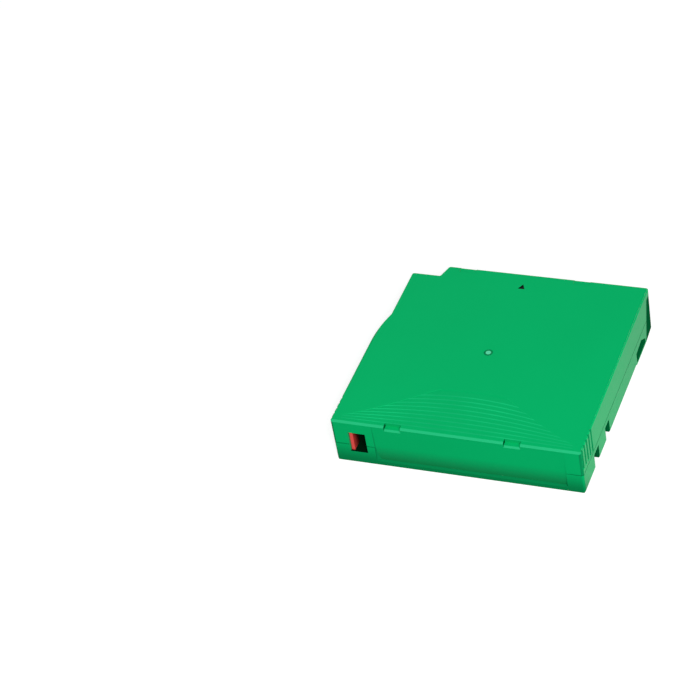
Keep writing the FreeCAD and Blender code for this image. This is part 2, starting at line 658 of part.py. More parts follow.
def ripple_field():
    """Shallow grip field on the lid near the label, with fine ridges left standing."""
    front = -HALF_D + RIPPLE_FRONT
    side = HALF_W - RIPPLE_SIDE
    floor = HEIGHT - RIPPLE_SINK
    field = prism_z([(-side, front), (side, front), (side, front + RIPPLE_SHORT),
                     (RIPPLE_CROWN / 2, front + RIPPLE_TALL), (-RIPPLE_CROWN / 2, front + RIPPLE_TALL),
                     (-side, front + RIPPLE_SHORT)], floor, HEIGHT + CUT_THROUGH)
    ridges = []
    for index in range(RIPPLE_COUNT):
        y = -HALF_D + RIPPLE_FIRST + index * RIPPLE_PITCH
        section = [(y - RIPPLE_WIDTH / 2, floor), (y + RIPPLE_WIDTH / 2, floor),
                   (y + RIPPLE_CREST / 2, HEIGHT), (y - RIPPLE_CREST / 2, HEIGHT)]
        ridges.append(prism_x(section, -HALF_W, HALF_W))
    above = box(-HALF_W, HALF_W, -HALF_D, 0.0, HEIGHT, HEIGHT + 2 * CUT_THROUGH)
    return field.cut(Part.makeCompound(ridges)).cut(above)


def front_edge(x0, x1, top):
    """Wedge cut along the upper edge of the front, below the given height."""
    far = FRONT_EDGE + CUT_THROUGH
    return prism_x([(-HALF_D - CUT_THROUGH, top - far), (-HALF_D - CUT_THROUGH, top + CUT_THROUGH),
                    (-HALF_D + far, top + CUT_THROUGH)], x0, x1)


def upper_shell(plan):
    """Upper half of the case, with the label panel, brake post, grips and lid details."""
    blank = slab(plan, PARTING, HEIGHT)
    rim = [edge for edge in blank.Edges if edge.BoundBox.ZMin > HEIGHT - CUT_THROUGH / 10]
    blank = blank.makeFillet(TOP_EDGE_R, rim)
    shell = blank.cut(slab(inset_face(plan, WALL), PARTING - CUT_THROUGH, CEILING))

    added = [label_panel(), cross_post(POST_TIP, CEILING + PLATE / 2)]
    ring_inner = BRAKE_COIL_R + BRAKE_WIRE / 2 + SPRING_RING_GAP
    added.append(ring(ring_inner + SPRING_RING_W, ring_inner, CEILING - SPRING_RING_H, CEILING + PLATE / 2))
    added.append(ring(REEL_STOP_R, REEL_STOP_R - REEL_STOP_W, CEILING - REEL_STOP_H, CEILING + PLATE / 2))

    groove = slab(plan, PARTING - CUT_THROUGH, PARTING + PARTING_GROOVE)
    groove = groove.cut(slab(inset_face(plan, PARTING_GROOVE), PARTING - CUT_THROUGH, PARTING + PARTING_GROOVE))
    groove = groove.cut(box(PANEL_X0, PANEL_X1, -HALF_D, PANEL_INNER_Y, 0.0, HEIGHT))
    removed = [lead_in(), window_cut(), panel_relief(), groove, ripple_field()]

    for x, y in screw_spots():
        added.append(rod(BOSS_R, PARTING, CEILING + PLATE / 2, x, y))
        removed.append(rod(SCREW_R + SCREW_THREAD_GAP, PARTING - CUT_THROUGH, SCREW_SINK + SCREW_HEAD
                           + SCREW_LENGTH + CUT_THROUGH / 2, x, y))

    for index in range(GRIP_GROOVES):
        y = -HALF_D + GRIP_START + index * GRIP_PITCH
        foot = GRIP_FOOT_FRONT + (GRIP_FOOT_REAR - GRIP_FOOT_FRONT) * index / (GRIP_GROOVES - 1)
        groove = rod(GRIP_R, foot, HEIGHT + CUT_THROUGH, HALF_W + GRIP_R - GRIP_DEPTH, y)
        removed += [groove, mirrored(groove)]

    removed.append(front_edge(-HALF_W - CUT_THROUGH, HALF_W + CUT_THROUGH, HEIGHT))
    for y_edge, inward in ((-HALF_D, 1), (HALF_D, -1)):
        y_out = y_edge - inward * CUT_THROUGH
        y_back = y_edge + inward * STACK_NOTCH_REACH
        y_wall = y_edge + inward * WALL / 2
        y_pad = y_back + inward * STACK_PAD
        for x0 in STACK_NOTCHES:
            x1 = x0 + STACK_NOTCH_WIDTH
            added.append(box(x0 - STACK_PAD, x1 + STACK_PAD, min(y_wall, y_pad), max(y_wall, y_pad),
                             CEILING - STACK_PAD, CEILING + PLATE / 4))
            removed.append(box(x0, x1, min(y_out, y_back), max(y_out, y_back), HEIGHT - STACK_NOTCH_SINK,
                               HEIGHT + CUT_THROUGH))
    for x0 in STACK_NOTCHES:
        removed.append(front_edge(x0, x0 + STACK_NOTCH_WIDTH, HEIGHT - STACK_NOTCH_SINK))

    added += slider_pocket(PARTING, CEILING + PLATE / 2)
    added.append(box(-HALF_W + WALL / 2, POCKET_X1, POCKET_Y0 - WALL / 2, POCKET_Y1, WINDOW_Z1, CEILING + PLATE / 2))

    pad_bottom = PIN_TOP + PIN_BOTTOM - FLOOR_TOP
    pad_r = PIN_HEAD_R + GUARD_GAP + GUARD_WALL
    added.append(rod(pad_r, pad_bottom, CEILING + PLATE / 2, PIN_X, PIN_Y))
    added.append(pin_guard(pad_bottom - GUARD_HEIGHT, CEILING))
    added.append(pin_spring_post(PIN_HIGH_NECK - PIN_NECK / 2 - PIN_WIRE / 2 - POST_TOP_OVER_WIRE, CEILING + PLATE / 2))
    removed.append(track_slot(PARTING - CUT_THROUGH, CEILING + TRACK_DEPTH))
    removed.append(tape_opening(PARTING - CUT_THROUGH, CEILING))

    removed.append(ring(GATE_R, GATE_NUB_R, HEIGHT - GATE_SINK, HEIGHT + CUT_THROUGH, GATE_X))
    removed.append(prism_z([(-ARROW_BASE / 2, ARROW_Y), (ARROW_BASE / 2, ARROW_Y), (0.0, ARROW_Y + ARROW_LENGTH)],
                           HEIGHT - ARROW_SINK, HEIGHT + CUT_THROUGH))
    return carved(fused(shell, added), removed)


def case_screws():
    """Four pan-head screws with six-lobed sockets, driven in from below."""
    head_top = SCREW_SINK + SCREW_HEAD
    profile = [(0.0, SCREW_SINK), (SCREW_HEAD_R - 0.5, SCREW_SINK), (SCREW_HEAD_R, SCREW_SINK + 0.5),
               (SCREW_HEAD_R, head_top), (SCREW_R, head_top), (SCREW_R, head_top + SCREW_LENGTH - SCREW_R),
               (0.2, head_top + SCREW_LENGTH), (0.0, head_top + SCREW_LENGTH)]
    socket_depth = SCREW_SINK + SCREW_HEAD * 0.6
    socket = [rod(0.75, 0.0, socket_depth)]
    for index in range(SCREW_LOBES):
        angle = 2 * math.pi * index / SCREW_LOBES
        socket.append(rod(0.26, 0.0, socket_depth, 0.78 * math.cos(angle), 0.78 * math.sin(angle)))
    screw = turned(profile).cut(socket[0].multiFuse(socket[1:]))
    return Part.makeCompound([screw.translated(Vec(x, y, 0)) for x, y in screw_spots()])


# ==== tape door ==========================================================================

def access_door():
    """Sliding door over the tape opening, with its finger lip and spring lug."""
    z0 = FLOOR_TOP - TRACK_DEPTH + DOOR_FIT
    z1 = CEILING + TRACK_DEPTH - DOOR_FIT
    plate = box(DOOR_X0, DOOR_X1, DOOR_Y0, BAY_Y, z0, z1)
    lip = box(BAY_X, DOOR_X0, BAY_Y - DOOR_LIP, BAY_Y, FLOOR_TOP + DOOR_FIT, CEILING - DOOR_FIT)
    lug_z0 = FLOOR_TOP + DOOR_FIT
    lug = box(DOOR_X1, LUG_X1, LUG_Y0, LUG_Y0 + DOOR_LUG, lug_z0, lug_z0 + DOOR_LUG_H + DOOR_FIT)
    return fused(plate, [lip, lug])


def door_spring():
    """Spring between the door's lug and the rib on the floor."""
    start = RIB_Y0 + SPRING_RIB + SPRING_SEAT_GAP
    length = LUG_Y0 - SPRING_SEAT_GAP - start
    spring = coil(DOOR_COIL_R, DOOR_WIRE, length, DOOR_TURNS)
    spring.rotate(Vec(0, 0, 0), Vec(1, 0, 0), -90)
    return spring.translated(Vec(DOOR_COIL_X, start, DOOR_COIL_Z))


# ==== leader pin =========================================================================

def leader_pin():
    """Turned steel pin that the drive takes hold of."""
    pin = turned([
        (0.0, PIN_BOTTOM), (PIN_HEAD_R, PIN_BOTTOM), (PIN_HEAD_R, PIN_LOW_NECK), (PIN_NECK_R, PIN_LOW_NECK),
        (PIN_NECK_R, PIN_LOW_FLANGE), (PIN_FLANGE_R, PIN_LOW_FLANGE),
        (PIN_FLANGE_R, PIN_LOW_FLANGE + PIN_FLANGE), (PIN_SHAFT_R, PIN_LOW_FLANGE + PIN_FLANGE),
        (PIN_SHAFT_R, PIN_HIGH_FLANGE - PIN_FLANGE), (PIN_FLANGE_R, PIN_HIGH_FLANGE - PIN_FLANGE),
        (PIN_FLANGE_R, PIN_HIGH_FLANGE), (PIN_NECK_R, PIN_HIGH_FLANGE), (PIN_NECK_R, PIN_HIGH_NECK),
        (PIN_HEAD_R, PIN_HIGH_NECK), (PIN_HEAD_R, PIN_TOP), (0.0, PIN_TOP),
    ])
    return pin.translated(Vec(PIN_X, PIN_Y, 0))


def leader_line():
    """Start on the pack, direction and length of the straight run of tape to the pin."""
    distance = math.hypot(PIN_X, PIN_Y)
    film_r = PACK_R + LEADER_FILM / 2
    angle = math.atan2(PIN_Y, PIN_X) - math.acos(film_r / distance)
    start = Vec(film_r * math.cos(angle), film_r * math.sin(angle), 0)
    run = Vec(PIN_X, PIN_Y, 0) - start
    return start, run, math.degrees(math.atan2(run.y, run.x))


def leader_tape():
    """The first stretch of tape, from the pack to the pin's clip."""
    start, run, heading = leader_line()
    strip = box(0.0, run.Length - CLIP_R, LEADER_FILM * 0.1, LEADER_FILM, TAPE_BOTTOM, TAPE_TOP)
    strip = strip.translated(Vec(0, -LEADER_FILM / 2, 0))
    strip.rotate(Vec(0, 0, 0), Vec(0, 0, 1), heading)
    return strip.translated(start)


def tape_clip():
    """Split plastic sleeve that clamps the tape's end on the pin."""
    heading = leader_line()[2]
    sleeve = ring(CLIP_R, PIN_SHAFT_R + CLIP_FIT, TAPE_BOTTOM, TAPE_TOP)
    mouth = box(0.0, 2 * CLIP_R, -CLIP_MOUTH / 2, CLIP_MOUTH / 2, TAPE_BOTTOM, TAPE_TOP)
    clip = sleeve.cut(mouth)
    clip.rotate(Vec(0, 0, 0), Vec(0, 0, 1), heading)
    return clip.translated(Vec(PIN_X, PIN_Y, 0))


def pin_spring(z):
    """Hairpin wire that snaps over one neck of the pin and loops round its post."""
    half = PIN_NECK_R + PIN_WIRE_GAP + PIN_WIRE / 2
    tip_x = PIN_X - PIN_SPRING_TIP
    flare = half + PIN_SPRING_FLARE
    knee_x = tip_x + PIN_SPRING_FLARE
    points = [Vec(tip_x, PIN_Y - flare, z), Vec(knee_x, PIN_Y - half, z), Vec(PIN_POST_X, PIN_Y - half, z),
              Vec(PIN_POST_X + half, PIN_Y, z), Vec(PIN_POST_X, PIN_Y + half, z), Vec(knee_x, PIN_Y + half, z),
              Vec(tip_x, PIN_Y + flare, z)]
    path = Part.Wire([
        Part.LineSegment(points[0], points[1]).toShape(),
        Part.LineSegment(points[1], points[2]).toShape(),
        Part.Arc(points[2], points[3], points[4]).toShape(),
        Part.LineSegment(points[4], points[5]).toShape(),
        Part.LineSegment(points[5], points[6]).toShape(),
    ])
    section = Part.Wire(Part.makeCircle(PIN_WIRE / 2, points[0], points[1] - points[0]))
    return path.makePipeShell([section], True, True, 1)


# ==== reel ===============================================================================

def reel_hub():
    """Hub, lower flange and floor in one moulding, with drive teeth below and brake teeth inside."""
    inner = HUB_R - HUB_WALL
    ledge = HUB_R - FLANGE_SEAT
    body = turned([
        (0.0, HUB_UNDERSIDE), (HUB_BOSS_R, HUB_UNDERSIDE), (HUB_BOSS_R, SEAT_TOP),
        (FLANGE_R - FLANGE_BEVEL, SEAT_TOP), (FLANGE_R, SEAT_TOP + FLANGE_BEVEL),
        (FLANGE_R, HUB_FLOOR_TOP - FLANGE_BEVEL / 2), (FLANGE_R - FLANGE_BEVEL / 2, HUB_FLOOR_TOP),
        (HUB_R, HUB_FLOOR_TOP), (HUB_R, UPPER_FLANGE_BOTTOM), (ledge, UPPER_FLANGE_BOTTOM),
        (ledge, UPPER_FLANGE_TOP), (inner, UPPER_FLANGE_TOP), (inner, HUB_FLOOR_TOP), (0.0, HUB_FLOOR_TOP),
    ])
    teeth = crown_teeth(DRIVE_RING_INNER, HUB_BOSS_R - 0.2, HUB_UNDERSIDE, HUB_UNDERSIDE - DRIVE_TOOTH)
    teeth += crown_teeth(BRAKE_RING_INNER, BRAKE_RING_OUTER, HUB_FLOOR_TOP, HUB_FLOOR_TOP + BRAKE_TOOTH)
    holes = [rod(LEG_R + LEG_FIT, HUB_UNDERSIDE - CUT_THROUGH, HUB_FLOOR_TOP + CUT_THROUGH, x, y)
             for x, y in leg_spots()]
    return carved(body.multiFuse(teeth), holes)


def upper_flange():
    """Separate flange welded onto the hub's ledge."""
    bevel = FLANGE_BEVEL
    return turned([
        (HUB_R - FLANGE_SEAT, UPPER_FLANGE_BOTTOM), (FLANGE_R - bevel / 2, UPPER_FLANGE_BOTTOM),
        (FLANGE_R, UPPER_FLANGE_BOTTOM + bevel / 2), (FLANGE_R, UPPER_FLANGE_TOP - bevel),
        (FLANGE_R - bevel, UPPER_FLANGE_TOP), (HUB_R - FLANGE_SEAT, UPPER_FLANGE_TOP),
    ])


def tape_pack():
    """The wound tape."""
    return ring(PACK_R, HUB_R, TAPE_BOTTOM, TAPE_TOP)


def drive_plate():
    """Steel washer under the hub that the drive's magnet holds."""
    plate = ring(DRIVE_PLATE_R, DRIVE_PLATE_HOLE_R, HUB_UNDERSIDE - DRIVE_PLATE, HUB_UNDERSIDE)
    holes = [rod(LEG_R + LEG_FIT, HUB_UNDERSIDE - DRIVE_PLATE, HUB_UNDERSIDE, x, y) for x, y in leg_spots()]
    return carved(plate, holes)


# ==== brake ==============================================================================

def leg_spots():
    """Places of the release plate's legs round the hub."""
    spots = []
    for index in range(RELEASE_LEGS):
        angle = math.pi / 2 + 2 * math.pi * index / RELEASE_LEGS
        spots.append((LEG_CIRCLE_R * math.cos(angle), LEG_CIRCLE_R * math.sin(angle)))
    return spots


def brake_button():
    """Toothed disc under a keyed socket: it holds the hub until the release plate lifts it."""
    disc_r = BRAKE_RING_OUTER + BRAKE_DISC_RIM
    disc_top = BRAKE_ROOT + BRAKE_DISC
    body = turned([
        (0.0, BRAKE_ROOT), (disc_r, BRAKE_ROOT), (disc_r, disc_top), (SOCKET_R, disc_top),
        (SOCKET_R, SOCKET_TOP), (0.0, SOCKET_TOP),
    ])
    teeth = crown_teeth(BRAKE_RING_INNER, BRAKE_RING_OUTER, BRAKE_ROOT, BRAKE_ROOT - BRAKE_TOOTH, 0.5)
    key = cross_post(SOCKET_BOTTOM, SOCKET_TOP + CUT_THROUGH, POST_FIT)
    return body.multiFuse(teeth).cut(key)


def release_plate():
    """Three-armed plate whose legs reach down through the hub floor to the drive."""
    top = HUB_FLOOR_TOP + RELEASE_PLATE
    pieces = [rod(RELEASE_HUB_R, HUB_FLOOR_TOP, BRAKE_ROOT)]
    tip = HUB_UNDERSIDE - DRIVE_PLATE + LEG_TIP_SET_BACK
    for x, y in leg_spots():
        pieces.append(rod(RELEASE_ARM_R, HUB_FLOOR_TOP, top, x, y))
        pieces.append(rod(LEG_R, tip, top, x, y))
        arm = box(0.0, LEG_CIRCLE_R, -RELEASE_ARM_R, RELEASE_ARM_R, HUB_FLOOR_TOP, top)
        arm.rotate(Vec(0, 0, 0), Vec(0, 0, 1), math.degrees(math.atan2(y, x)))
        pieces.append(arm)
    return fused(pieces[0], pieces[1:])


def brake_spring():
    """Spring between the lid and the brake's disc."""
    start = BRAKE_ROOT + BRAKE_DISC + SPRING_SEAT_GAP
    length = CEILING - SPRING_SEAT_GAP - start
    return coil(BRAKE_COIL_R, BRAKE_WIRE, length, BRAKE_TURNS).translated(Vec(0, 0, start))


# ==== write-protect switch ===============================================================

def write_protect_slider():
    """Hollow slider with the finger ridge that shows in the window."""
    x0 = SLIDER_X1 - SLIDER_LENGTH
    z0 = WINDOW_Z0 + SLIDER_FIT
    z1 = WINDOW_Z1 - SLIDER_FIT
    y0 = POCKET_Y0 + SLIDER_FIT
    y1 = y0 + SLIDER_DEPTH
    block = box(x0, SLIDER_X1, y0, y1, z0, z1)
    ridge = box(SLIDER_X1 - SLIDER_RIDGE, SLIDER_X1, y0 - SLIDER_RIDGE_REACH, y0 + SLIDER_SKIN, z0, z1)
    hollow = box(x0 - CUT_THROUGH, SLIDER_X1 - SLIDER_SKIN, y0 + SLIDER_SKIN, y1 + CUT_THROUGH,
                 z0 + SLIDER_SKIN, z1 - SLIDER_SKIN)
    return fused(block, [ridge]).cut(hollow)


# ==== memory tag =========================================================================

def tag_rest(y):
    """Section of the sloped ribs that the memory tag lies on, as (y, z) points."""
    run = TAG_HEIGHT * math.cos(math.radians(TAG_LEAN))
    rise = TAG_HEIGHT * math.sin(math.radians(TAG_LEAN))
    return [(y, FLOOR_TOP / 2), (y + run, FLOOR_TOP / 2), (y + run, FLOOR_TOP), (y, FLOOR_TOP + rise)]


def place_tag(shape):
    """Moves a piece drawn flat, long side on X and foot at the origin, onto its sloped ribs."""
    shape.rotate(Vec(0, 0, 0), Vec(1, 0, 0), 180.0 - TAG_LEAN)
    y = PANEL_INNER_Y + TAG_FRONT_GAP + TAG_HEIGHT * math.cos(math.radians(TAG_LEAN))
    return shape.translated(Vec(TAG_X0, y, FLOOR_TOP))


def memory_board():
    """Small circuit board on its sloped ribs."""
    return place_tag(box(0.0, TAG_LENGTH, 0.0, TAG_HEIGHT, -TAG_BOARD, 0.0))


def memory_antenna():
    """Flat rectangular spiral of copper on the board."""
    x0, x1 = TAG_EDGE, TAG_LENGTH - TAG_EDGE
    y0, y1 = TAG_EDGE, TAG_HEIGHT - TAG_EDGE
    half = TAG_TRACK / 2
    corners = [(x0 + half, y0 + half)]
    for turn in range(TAG_TURNS):
        step = turn * TAG_TRACK_PITCH + half
        corners += [(x1 - step, y0 + step), (x1 - step, y1 - step), (x0 + step, y1 - step),
                    (x0 + step, y0 + step + TAG_TRACK_PITCH)]
    tracks = []
    for (ax, ay), (bx, by) in zip(corners, corners[1:]):
        tracks.append(box(min(ax, bx) - half, max(ax, bx) + half, min(ay, by) - half, max(ay, by) + half,
                          -TAG_BOARD - TAG_TRACK_THICK, -TAG_BOARD))
    return place_tag(fused(tracks[0], tracks[1:]))


def memory_chip():
    """Chip in the middle of the spiral."""
    x0 = (TAG_LENGTH - TAG_CHIP) / 2
    y0 = (TAG_HEIGHT - TAG_CHIP) / 2
    return place_tag(box(x0, x0 + TAG_CHIP, y0, y0 + TAG_CHIP, -TAG_BOARD - TAG_CHIP_THICK, -TAG_BOARD))


def build():
    """Every piece of the cartridge by name."""
    plan = case_face()
    return {
        "lower_shell": lower_shell(plan),
        "upper_shell": upper_shell(plan),
        "case_screws": case_screws(),
        "access_door": access_door(),
        "door_spring": door_spring(),
        "leader_pin": leader_pin(),
        "tape_clip": tape_clip(),
        "leader_tape": leader_tape(),
        "lower_pin_spring": pin_spring(PIN_LOW_NECK + PIN_NECK / 2),
        "upper_pin_spring": pin_spring(PIN_HIGH_NECK - PIN_NECK / 2),
        "reel_hub": reel_hub(),
        "upper_flange": upper_flange(),
        "tape_pack": tape_pack(),
        "drive_plate": drive_plate(),
        "brake_button": brake_button(),
        "release_plate": release_plate(),
        "brake_spring": brake_spring(),
        "write_protect_slider": write_protect_slider(),
        "memory_board": memory_board(),
        "memory_antenna": memory_antenna(),
        "memory_chip": memory_chip(),
    }


os.makedirs("parts", exist_ok=True)
for name, shape in build().items():
    shape.exportStep("parts/" + name + ".step")
    print(name, "solids", len(shape.Solids), "valid", shape.isValid(), "volume", round(shape.Volume, 1))
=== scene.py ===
"""A half-inch data tape cartridge: its finishes, softened edges on its mouldings, and a plain studio."""

import logging
import math
from collections.abc import Callable
from dataclasses import dataclass, field, replace
from enum import Enum, IntEnum

import bmesh
import bpy
from mathutils import Matrix, Vector


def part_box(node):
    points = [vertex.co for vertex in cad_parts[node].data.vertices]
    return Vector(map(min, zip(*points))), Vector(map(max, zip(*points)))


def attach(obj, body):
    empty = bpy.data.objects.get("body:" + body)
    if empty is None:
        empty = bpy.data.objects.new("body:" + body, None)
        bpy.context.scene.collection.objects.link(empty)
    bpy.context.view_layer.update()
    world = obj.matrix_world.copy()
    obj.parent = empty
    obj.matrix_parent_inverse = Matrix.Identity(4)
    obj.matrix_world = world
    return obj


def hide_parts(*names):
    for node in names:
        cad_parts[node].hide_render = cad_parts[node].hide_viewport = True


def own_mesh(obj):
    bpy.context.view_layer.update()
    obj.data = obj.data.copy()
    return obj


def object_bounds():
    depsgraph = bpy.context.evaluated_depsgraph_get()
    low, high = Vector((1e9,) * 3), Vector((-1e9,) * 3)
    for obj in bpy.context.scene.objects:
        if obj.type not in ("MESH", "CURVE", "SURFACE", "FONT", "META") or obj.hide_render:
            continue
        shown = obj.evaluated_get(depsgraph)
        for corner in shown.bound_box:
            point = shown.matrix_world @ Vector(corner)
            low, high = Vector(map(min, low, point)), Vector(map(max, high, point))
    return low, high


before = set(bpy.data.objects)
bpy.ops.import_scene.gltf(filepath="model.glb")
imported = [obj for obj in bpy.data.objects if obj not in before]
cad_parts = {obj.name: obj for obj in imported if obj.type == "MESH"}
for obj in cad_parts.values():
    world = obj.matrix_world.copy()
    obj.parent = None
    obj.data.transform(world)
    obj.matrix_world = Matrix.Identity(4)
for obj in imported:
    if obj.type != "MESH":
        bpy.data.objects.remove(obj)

CAD_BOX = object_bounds()
MM = 0.001
SKIN = 0.01  # millimetres by which a place stops short of a face that it leaves out
log = logging.getLogger("cartridge")


# ---- shader building blocks ------------------------------------------------------------


class Effect(Enum):
    """Shader groups that more than one finish uses."""

    GRAIN = "mould_grain"
    STREAKS = "drawn_streaks"
    DEPTH = "depth_shade"


@dataclass
class Shader:
    """A material under construction: its node tree and a few short ways to add to it.

    Args:
        name: the material's name.
    """

    name: str
    material: bpy.types.Material = field(init=False)
    nodes: bpy.types.Nodes = field(init=False)
    links: bpy.types.NodeLinks = field(init=False)
    surface: bpy.types.Node = field(init=False)

    def __post_init__(self) -> None:
        """Creates the material with a bare Principled surface."""
        self.material = bpy.data.materials.new(self.name)
        self.material.use_nodes = True
        tree = self.material.node_tree
        self.nodes = tree.nodes
        self.links = tree.links
        self.nodes.clear()
        self.surface = self.nodes.new("ShaderNodeBsdfPrincipled")
        output = self.nodes.new("ShaderNodeOutputMaterial")
        self.links.new(self.surface.outputs["BSDF"], output.inputs["Surface"])

    def add(self, kind: str, **values: object) -> bpy.types.Node:
        """Adds a node.

        Args:
            kind: the node's type.
            **values: attributes of the node, or default values of its inputs where the name is an input's.

        Returns:
            The new node.
        """
        node = self.nodes.new(kind)
        for key, value in values.items():
            socket = key.replace("_", " ").title()
            if socket in node.inputs:
                node.inputs[socket].default_value = value
            else:
                setattr(node, key, value)
        return node

    def effect(self, effect: Effect, **values: float) -> bpy.types.Node:
        """Places one of the shared effects.

        Args:
            effect: which group.
            **values: its inputs by name, with underscores for spaces.

        Returns:
            The group node.
        """
        node = self.nodes.new("ShaderNodeGroup")
        node.node_tree = Effects.tree(effect)
        for key, value in values.items():
            node.inputs[key.replace("_", " ").title()].default_value = value
        return node

    def set(self, socket: str, value: object) -> None:
        """Sets one of the surface's own sockets."""
        self.surface.inputs[socket].default_value = value

    def feed(self, output: bpy.types.NodeSocket, socket: str) -> None:
        """Links an output to one of the surface's sockets."""
        self.links.new(output, self.surface.inputs[socket])


class Effects:
    """The shared shader groups, each built the first time it is asked for."""

    @staticmethod
    def tree(effect: Effect) -> bpy.types.NodeTree:
        """Finds or builds a group.

        Args:
            effect: which group.

        Returns:
            Its node tree.
        """
        found = bpy.data.node_groups.get(effect.value)
        if found is not None:
            return found
        makers = {Effect.GRAIN: Effects.grain, Effect.STREAKS: Effects.streaks, Effect.DEPTH: Effects.depth}
        return makers[effect]()

    @staticmethod
    def start(effect: Effect, inputs: dict[str, float], outputs: dict[str, str]) -> bpy.types.NodeTree:
        """Creates a group with named sockets.

        Args:
            effect: which group.
            inputs: input names and their default values.
            outputs: output names and their socket types.

        Returns:
            The empty tree with its input and output nodes.
        """
        tree = bpy.data.node_groups.new(effect.value, "ShaderNodeTree")
        for name, value in inputs.items():
            socket = tree.interface.new_socket(name=name, in_out="INPUT", socket_type="NodeSocketFloat")
            socket.default_value = value
        for name, kind in outputs.items():
            tree.interface.new_socket(name=name, in_out="OUTPUT", socket_type=kind)
        tree.nodes.new("NodeGroupInput").name = "in"
        tree.nodes.new("NodeGroupOutput").name = "out"
        return tree

    @staticmethod
    def grain() -> bpy.types.NodeTree:
        """Fine mould texture: a grain height, a slow tone and a roughness that varies with both.

        Returns:
            The group's tree.
        """
        tree = Effects.start(
            Effect.GRAIN,
            {"Grain Size": 0.25, "Depth": 0.2, "Roughness": 0.4, "Spread": 0.08, "Tone": 0.05},
            {"Normal": "NodeSocketVector", "Roughness": "NodeSocketFloat", "Tone": "NodeSocketFloat"},
        )
        new, link = tree.nodes.new, tree.links.new
        inputs, outputs = tree.nodes["in"], tree.nodes["out"]
        place = new("ShaderNodeTexCoord")
        scale = new("ShaderNodeMath")
        scale.operation = "DIVIDE"
        scale.inputs[0].default_value = 1000.0
        link(inputs.outputs["Grain Size"], scale.inputs[1])
        fine = new("ShaderNodeTexNoise")
        fine.inputs["Detail"].default_value = 3.0
        fine.inputs["Roughness"].default_value = 0.6
        link(place.outputs["Object"], fine.inputs["Vector"])
        link(scale.outputs[0], fine.inputs["Scale"])
        slow = new("ShaderNodeTexNoise")
        slow.inputs["Scale"].default_value = 38.0
        slow.inputs["Detail"].default_value = 4.0
        link(place.outputs["Object"], slow.inputs["Vector"])
        bump = new("ShaderNodeBump")
        bump.inputs["Distance"].default_value = 0.00004
        link(fine.outputs["Fac"], bump.inputs["Height"])
        link(inputs.outputs["Depth"], bump.inputs["Strength"])
        link(bump.outputs["Normal"], outputs.inputs["Normal"])
        centred = new("ShaderNodeMath")
        centred.operation = "SUBTRACT"
        centred.inputs[1].default_value = 0.5
        link(slow.outputs["Fac"], centred.inputs[0])
        varied = new("ShaderNodeMath")
        varied.operation = "MULTIPLY_ADD"
        link(centred.outputs[0], varied.inputs[0])
        link(inputs.outputs["Spread"], varied.inputs[1])
        link(inputs.outputs["Roughness"], varied.inputs[2])
        link(varied.outputs[0], outputs.inputs["Roughness"])
        tone = new("ShaderNodeMath")
        tone.operation = "MULTIPLY_ADD"
        tone.inputs[2].default_value = 1.0
        link(centred.outputs[0], tone.inputs[0])
        link(inputs.outputs["Tone"], tone.inputs[1])
        link(tone.outputs[0], outputs.inputs["Tone"])
        return tree

    @staticmethod
    def streaks() -> bpy.types.NodeTree:
        """Fine drawn or turned marks in metal: a height and a share of roughness and tone.

        Returns:
            The group's tree.
        """
        tree = Effects.start(
            Effect.STREAKS,
            {"Along X": 1.0, "Along Y": 1.0, "Along Z": 1.0, "Roughness": 0.28, "Depth": 0.12},
            {"Normal": "NodeSocketVector", "Roughness": "NodeSocketFloat", "Share": "NodeSocketFloat"},
        )
        new, link = tree.nodes.new, tree.links.new
        inputs, outputs = tree.nodes["in"], tree.nodes["out"]
        place = new("ShaderNodeTexCoord")
        along = new("ShaderNodeCombineXYZ")
        for axis in "XYZ":
            link(inputs.outputs["Along " + axis], along.inputs[axis])
        stretch = new("ShaderNodeVectorMath")
        stretch.operation = "MULTIPLY"
        link(place.outputs["Object"], stretch.inputs[0])
        link(along.outputs["Vector"], stretch.inputs[1])
        marks = new("ShaderNodeTexNoise")
        marks.inputs["Scale"].default_value = 900.0
        marks.inputs["Detail"].default_value = 5.0
        link(stretch.outputs["Vector"], marks.inputs["Vector"])
        link(marks.outputs["Fac"], outputs.inputs["Share"])
        rough = new("ShaderNodeMath")
        rough.operation = "MULTIPLY_ADD"
        rough.inputs[1].default_value = 0.2
        lowest = new("ShaderNodeMath")
        lowest.operation = "SUBTRACT"
        lowest.inputs[1].default_value = 0.1
        link(inputs.outputs["Roughness"], lowest.inputs[0])
        link(marks.outputs["Fac"], rough.inputs[0])
        link(lowest.outputs[0], rough.inputs[2])
        link(rough.outputs[0], outputs.inputs["Roughness"])
        bump = new("ShaderNodeBump")
        bump.inputs["Distance"].default_value = 0.00003
        link(marks.outputs["Fac"], bump.inputs["Height"])
        link(inputs.outputs["Depth"], bump.inputs["Strength"])
        link(bump.outputs["Normal"], outputs.inputs["Normal"])
        return tree

